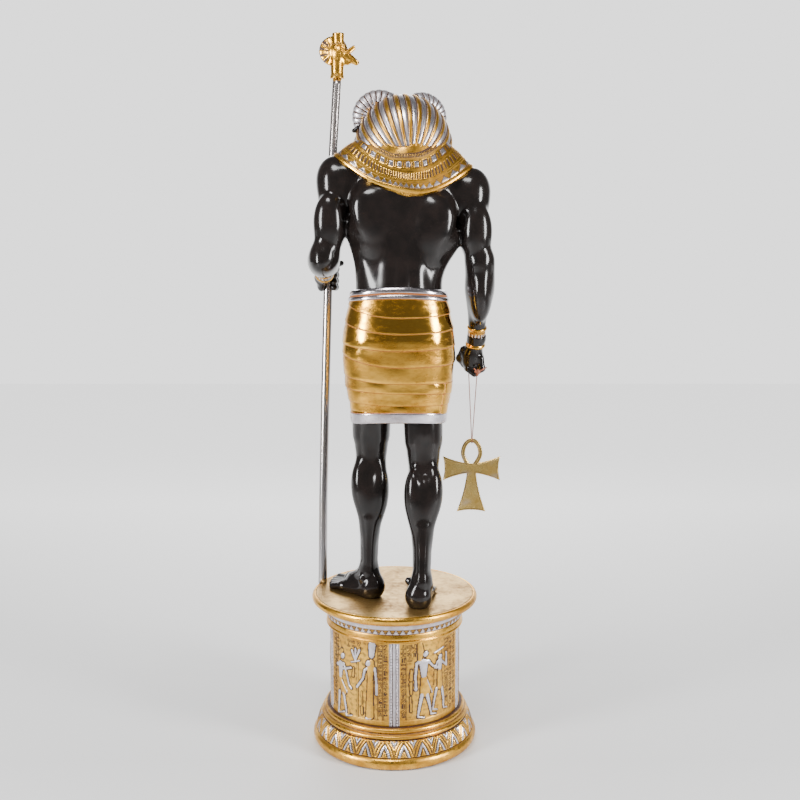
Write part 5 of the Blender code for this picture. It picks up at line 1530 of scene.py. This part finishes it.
def signs(phi0, phi1, z0, z1, seed):
    """Rows of plain strokes filling a field, repeatable from the seed."""
    rng = np.random.default_rng(seed)
    out, z = [], z1
    m, q = (phi0 + phi1) / 2, (phi1 - phi0) * 0.36
    thin = lambda a, b, ra=0.0009, rb=0.0009: (*a, *b, ra, rb, 0.0013, 0.0)
    chain = lambda points: [thin(a, b) for a, b in zip(points, points[1:])]
    while z - 0.011 > z0:
        kind, tall = rng.integers(0, 6), 0.009 + 0.006 * rng.random()
        low = z - tall
        if kind == 0:
            out += [thin((m - q, z - tall * s), (m + q, z - tall * s)) for s in (0.25, 0.75)]
        elif kind == 1:
            out += [thin((m + q * s, z - 0.002), (m + q * s, low + 0.002), 0.0010, 0.0008)
                    for s in (-0.7, 0.0, 0.7)]
        elif kind == 2:
            out += chain([(m + q * 0.8 * math.cos(a), (z + low) / 2 + tall * 0.34 * math.sin(a))
                          for a in np.linspace(0, 2 * math.pi, 9)])
        elif kind == 3:
            out += chain([(m - q + q * 0.5 * i, z - tall * (0.35 if i % 2 else 0.65)) for i in range(5)])
        elif kind == 4:
            bend = (m + q * 0.1, z - tall * 0.4)
            out += [(m - q * 0.8, low + 0.002, *bend, 0.0024, 0.0018, 0.0016, 0.0),
                    (*bend, m + q * 0.5, z - 0.002, 0.0014, 0.0016, 0.0016, 0.0)]
        else:
            out += [thin((m - q, low + 0.002), (m + q, low + 0.002)),
                    thin((m, low + 0.002), (m, z - 0.0015), 0.0010, 0.0016)]
        z = low - 0.0022
    return out


def bar(phi, z0, z1, r=0.0008):
    return [(phi, z0, phi, z1, r, r, 0.0012, 0.0)]


def person(phi, z0, tall, way, dress=False):
    """Standing figure for the panels that the photograph doesn't show; way is the side it faces.

    Each row of strokes is in millimetres on a figure 200 mm tall.
    """
    s = tall / 0.2
    across = way / 1000 / MM_PER_DEGREE
    rows = [(0, 188, 1, 180, 7.5, 8.5, 2.6, 0), (5, 181, 6, 178, 6.5, 5.5, 3.0, 1),
            (1, 168, 0, 160, 4.5, 6.0, 2.4, 1), (-8, 155, 8, 155, 6.0, 6.0, 2.8, 1),
            (0, 150, 0, 115, 11.5, 8.5, 3.0, 1), (-11, 154, -13, 120, 4.2, 3.4, 2.6, 1),
            (-13, 120, -11, 90, 3.4, 4.0, 2.6, 1), (11, 153, 20, 132, 4.2, 3.4, 2.6, 1),
            (20, 132, 34, 140, 3.4, 3.8, 2.6, 1)]
    rows += [(0, 112, 2, 16, 9.0, 13.5, 2.6, 0)] if dress else [(0, 108, 3, 76, 9.8, 15.5, 2.8, 0)]
    for hip, foot in ((-4, -8), (4, 12)):
        if not dress:
            rows += [(hip, 72, foot, 38, 6.0, 4.8, 2.6, 1), (foot, 38, foot, 6, 5.0, 3.4, 2.6, 1)]
        rows += [(foot, 3, foot + 9, 2, 3.2, 2.6, 2.4, 1)]
    return [(phi + x0 * across, z0 + y0 / 1000 * s, phi + x1 * across, z0 + y1 / 1000 * s,
             ra / 1000 * s, rb / 1000 * s, rise / 1000, silver)
            for x0, y0, x1, y1, ra, rb, rise, silver in rows]


# %% [markdown]
# The two panels nearest the camera follow the photograph's broad areas; the other three are plainer.

# %% Five panels
# One row for each stroke: from an angle and height to an angle and height, in degrees and millimetres
# above the floor, then the radius at each end before FIGURE_GROWTH, the rise, and 1 for silver.
FIGURE_GROWTH = 1.24
FIELD_LOW, FIELD_HIGH = 0.150, 0.404
LEFT_STROKES = (
    # figure with a tall crown
    (-19.0, 401, -19.6, 365.5, 10, 7.5, 2.4, 1), (-22.9, 335.5, -22.2, 339.5, 6.5, 7, 3.0, 1),
    (-19.5, 345, -18.9, 323, 6.5, 6.5, 2.4, 0), (-20.7, 320.5, -20.8, 283, 10, 7, 3.0, 0),
    (-20.8, 279.5, -21.4, 158.5, 7.5, 11, 2.8, 0), (-23.5, 320, -25.9, 312, 3.5, 3.2, 2.6, 1),
    (-25.9, 313.5, -27.4, 283.5, 3.5, 3, 2.6, 1), (-27.4, 283.5, -33.7, 249, 3, 3.2, 2.6, 1),
    (-16.5, 322.5, -15.3, 279, 3.5, 3.2, 2.6, 1), (-15.3, 279, -15.1, 236, 3.2, 3.7, 2.6, 1),
    (-24.7, 147.5, -20.0, 150, 2.75, 2.25, 2.4, 1),
    # staff and the flowers between the two
    (-32.7, 339, -33.0, 145.5, 1.8, 1.8, 1.4, 0), (-35.3, 337, -38.9, 369.5, 2.25, 3.7, 2.0, 1),
    (-35.3, 337, -35.0, 376.5, 2.25, 3.7, 2.0, 1), (-35.3, 337, -31.1, 376.5, 2.25, 3.7, 2.0, 1),
    (-39.9, 329, -30.8, 341, 2, 2, 1.8, 1),
    # figure that offers them
    (-51.2, 336, -50.3, 340, 6.5, 6.8, 3.0, 1), (-54.5, 345, -51.4, 356.5, 6.5, 6, 2.4, 0),
    (-54.9, 329, -56.6, 312.5, 4.5, 4, 2.2, 0), (-58.4, 301.5, -49.1, 311.5, 5, 5, 2.8, 1),
    (-53.7, 306, -53.9, 265.5, 10, 6.5, 3.0, 1), (-57.7, 306, -52.2, 292, 3.2, 3, 3.0, 1),
    (-52.2, 292, -40.2, 308.5, 3, 3.2, 2.8, 1), (-49.0, 312, -45.9, 289, 3.2, 3, 2.8, 1),
    (-45.9, 289, -42.3, 245.5, 3, 2.75, 2.8, 1), (-42.3, 245.5, -39.9, 237.5, 3, 3.5, 2.8, 1),
    (-53.9, 255, -49.6, 218.5, 8, 12, 2.8, 0), (-51.5, 253, -44.8, 219.5, 1.8, 1.8, 3.4, 1),
    (-55.7, 208.5, -56.6, 158, 5, 3.7, 2.6, 1), (-56.6, 158, -57.1, 136, 3.2, 2.75, 2.6, 1),
    (-57.1, 133, -48.7, 146, 2.5, 2, 2.4, 1), (-49.6, 211.5, -46.3, 158, 5, 3.5, 2.8, 1),
    (-46.3, 158, -45.5, 138, 3.2, 2.75, 2.8, 1), (-45.6, 136, -39.2, 144.5, 2.5, 2, 2.6, 1),
    # tall signs
    (-79.2, 258, -69.1, 242, 3.5, 5.5, 1.8, 0), (-37.0, 311, -37.8, 283, 2.5, 4, 1.6, 0),
    (-28.8, 236, -28.6, 187.5, 2.25, 2.25, 1.4, 0), (-28.8, 180.5, -28.7, 160, 4, 3, 1.6, 0),
    (-73.1, 164, -67.1, 134.5, 2.5, 3.5, 1.6, 0),
)
RIGHT_STROKES = (
    # large figure in a kilt
    (22.2, 401, 22.8, 379, 7.5, 9.5, 2.4, 0), (27.3, 365.5, 28.1, 368, 6.8, 6.8, 3.0, 1),
    (23.0, 370, 22.1, 350.5, 7.5, 6, 2.4, 0), (20.8, 342, 30.6, 339, 5, 5, 2.8, 1),
    (25.8, 334.5, 26.0, 295, 13, 8, 3.0, 1), (19.2, 339, 18.2, 294.5, 4, 3.5, 2.8, 1),
    (18.2, 294.5, 18.6, 256.5, 3.5, 3.2, 2.8, 1), (18.6, 253.5, 18.6, 250, 4.3, 4.3, 3.0, 1),
    (31.2, 337, 34.7, 321, 3.7, 3.2, 2.8, 1), (34.7, 321, 39.7, 312, 3.2, 3.2, 2.6, 1),
    (26.2, 280.5, 27.4, 239, 10, 15.5, 2.8, 0), (29.1, 277, 34.0, 231, 1.8, 1.8, 3.4, 1),
    (24.2, 229, 22.2, 192.5, 5.7, 4.3, 2.8, 1), (22.2, 192.5, 20.6, 159, 4.3, 3, 2.6, 1),
    (20.6, 154, 26.4, 148.5, 2.75, 2, 2.6, 1), (29.0, 227, 31.6, 188.5, 5.5, 4, 2.8, 1),
    (31.6, 188.5, 33.1, 161, 3.7, 2.75, 2.6, 1), (33.1, 156.5, 38.3, 152.5, 2.75, 2, 2.6, 1),
    # figure with one arm raised
    (42.7, 343, 43.4, 346, 6, 6.2, 3.0, 1), (41.1, 357.5, 42.9, 361.5, 5.5, 5.5, 2.2, 0),
    (42.8, 329.5, 42.6, 305.5, 8.5, 6.5, 2.8, 1), (39.7, 331, 37.1, 312, 3.2, 3, 2.8, 1),
    (37.1, 312, 43.8, 307.5, 3, 2.75, 2.6, 1), (45.5, 325, 51.0, 307.5, 3.2, 3, 2.8, 1),
    (51.0, 307.5, 50.6, 350, 3, 3.2, 2.8, 1), (36.8, 363, 46.9, 373, 2.25, 2.25, 2.0, 1),
    (42.4, 295.5, 42.7, 244.5, 7.5, 9.8, 2.8, 0), (38.8, 237, 36.4, 201, 4.5, 3.5, 2.6, 1),
    (36.4, 201, 35.0, 172.5, 3.2, 2.75, 2.6, 1), (35.0, 170, 40.0, 164.5, 2.25, 1.8, 2.4, 1),
    (45.4, 234.5, 47.1, 195.5, 4.5, 3.5, 2.6, 1), (47.1, 195.5, 47.5, 165.5, 3.2, 2.75, 2.6, 1),
    (47.5, 163, 52.2, 158.5, 2.25, 1.8, 2.4, 1),
    # tall signs
    (14.6, 316.5, 14.3, 286, 3.2, 5, 1.8, 0), (14.2, 272.5, 14.5, 238, 4.5, 3, 1.8, 0),
    (13.9, 224.5, 14.2, 176.5, 2.5, 2.5, 1.4, 0), (36.5, 298, 35.9, 257, 2, 2, 1.4, 0),
)


def panel_strokes(table, fields, dividers):
    """Figures in metres, then columns of signs (two angles, lower edge, seed) and the lines between them."""
    grow = FIGURE_GROWTH / 1000
    out = [(a, z0 / 1000, b, z1 / 1000, ra * grow, rb * grow, rise / 1000, silver)
           for a, z0, b, z1, ra, rb, rise, silver in table]
    for phi0, phi1, low, seed in fields:
        out += signs(phi0, phi1, low, FIELD_HIGH, seed)
    for phi in dividers:
        out += bar(phi, FIELD_LOW, FIELD_HIGH)
    return out


left = panel_strokes(LEFT_STROKES, (
    (-13.6, -9.8, FIELD_LOW, 3), (-9.4, -5.6, FIELD_LOW, 4), (-33.0, -29.0, 0.360, 5), (-39.0, -35.0, 0.372, 6),
    (-60.0, -55.5, 0.300, 7), (-65.5, -61.5, FIELD_LOW, 8), (-45.0, -41.0, 0.376, 9)), (-9.6, -13.9, -61.0))
right = panel_strokes(RIGHT_STROKES, (
    (5.6, 10.0, FIELD_LOW, 13), (10.6, 15.6, 0.345, 14), (15.8, 20.0, 0.360, 15), (49.0, 53.4, FIELD_LOW, 16),
    (55.0, 60.0, FIELD_LOW, 17), (61.0, 65.6, FIELD_LOW, 18)), (10.3, 48.4, 54.0))
drum_slab("panel_back_left", -68.1, -3.9, 150, 168, DRUM_RADIUS, stroke_relief(left, -68.1, -3.9), panel_leaf)
drum_slab("panel_back_right", 3.9, 68.1, 150, 168, DRUM_RADIUS, stroke_relief(right, 3.9, 68.1), panel_leaf)
for n, (name, lead) in enumerate((("panel_right", 72.0), ("panel_front", 144.0), ("panel_left", -144.0))):
    strokes = person(lead + 21, FIELD_LOW, 0.235, 1) + person(lead + 49, FIELD_LOW, 0.225, -1, True)
    strokes += bar(lead + 35, FIELD_LOW, 0.330)
    columns = ((5.6, 9.6, FIELD_LOW), (30.0, 34.0, 0.33), (36.0, 40.0, 0.33), (62.4, 66.4, FIELD_LOW))
    for m, (a, b, low) in enumerate(columns):
        strokes += signs(lead + a, lead + b, low, FIELD_HIGH, 30 + 5 * n + m)
    edge0, edge1 = lead + 3.9, lead + 68.1
    drum_slab(name, edge0, edge1, 92, 108, DRUM_RADIUS, stroke_relief(strokes, edge0, edge1), panel_leaf)

# %% [markdown]
# ## Floor and light
# A pale floor and a white room, with a tall soft box on each side: they draw the pale bands down the
# kilt and the small highlights on the back, while the camera's side stays darker. The floor also glows as
# painted light, brightest far beyond the statue, so that it reads as a lit white sweep.

# %% Stage
def soft_box(name, at, aim, size, power, colour=(1.0, 1.0, 1.0)):
    data = bpy.data.lights.new(name, 'AREA')
    data.shape = 'ELLIPSE'
    data.size, data.size_y = size
    data.energy = power
    data.color = colour
    lamp = bpy.data.objects.new(name, data)
    lamp.location = at
    lamp.rotation_euler = (Vector(aim) - Vector(at)).to_track_quat('-Z', 'Y').to_euler()
    bpy.context.scene.collection.objects.link(lamp)


soft_box("box_left", (2.9, 1.9, 1.9), (0, 0, 1.2), (0.8, 2.2), 200)
soft_box("box_right", (-2.9, 1.7, 1.8), (0, 0, 1.2), (0.8, 2.2), 200)
soft_box("box_over", (0.5, 1.9, 4.3), (0, 0, 1.2), (1.4, 1.0), 90)
soft_box("box_front", (0.0, -3.4, 2.8), (0, 0, 1.2), (2.4, 2.0), 70)
world = bpy.data.worlds.new("room")
bpy.context.scene.world = world
world.use_nodes = True
sky = world.node_tree
facing = add(sky, 'ShaderNodeSeparateXYZ')
sky.links.new(add(sky, 'ShaderNodeTexCoord').outputs['Generated'], facing.inputs[0])
wall = add(sky, 'ShaderNodeMapRange', clamp=True)
sky.links.new(facing.outputs['Y'], wall.inputs['Value'])
sky.nodes["Background"].inputs["Color"].default_value = (1.0, 1.0, 1.0, 1.0)
wall.inputs['From Min'].default_value = -0.86
wall.inputs['From Max'].default_value = -0.55
wall.inputs['To Min'].default_value = 1.90
wall.inputs['To Max'].default_value = 0.16
sky.links.new(wall.outputs['Result'], sky.nodes["Background"].inputs["Strength"])
floor_mesh = bpy.data.meshes.new("floor")
floor_mesh.from_pydata([(-9, -9, 0), (9, -9, 0), (9, 9, 0), (-9, 9, 0)], [], [(0, 1, 2, 3)])
floor = bpy.data.objects.new("floor", floor_mesh)
floor_mat = bpy.data.materials.new("pale_floor")
floor_mat.use_nodes = True
floor_tree = floor_mat.node_tree
floor_shader = floor_tree.nodes["Principled BSDF"]
floor_shader.inputs["Base Color"].default_value = (0.66, 0.66, 0.66, 1.0)
floor_shader.inputs["Roughness"].default_value = 0.6
# Painted light: the floor glows. It is dark from the statue toward the camera and reaches full strength 3.2 m
# beyond the statue, so it reads as a lit white sweep.
away = add(floor_tree, 'ShaderNodeSeparateXYZ')
floor_tree.links.new(add(floor_tree, 'ShaderNodeTexCoord').outputs['Object'], away.inputs[0])
glow = add(floor_tree, 'ShaderNodeMapRange', clamp=True)
floor_tree.links.new(away.outputs['Y'], glow.inputs['Value'])
glow.inputs['From Min'].default_value = -3.2
glow.inputs['From Max'].default_value = 0.2
glow.inputs['To Min'].default_value = 1.35
glow.inputs['To Max'].default_value = 0.0
floor_shader.inputs["Emission Color"].default_value = (1.0, 1.0, 1.0, 1.0)
floor_tree.links.new(glow.outputs['Result'], floor_shader.inputs["Emission Strength"])
floor_mesh.materials.append(floor_mat)
bpy.context.scene.collection.objects.link(floor)

# %% Triangles in all meshes
total = sum(len(p.vertices) - 2 for o in bpy.data.objects if o.type == 'MESH' for p in o.data.polygons)
print("all meshes together", total, "triangles")
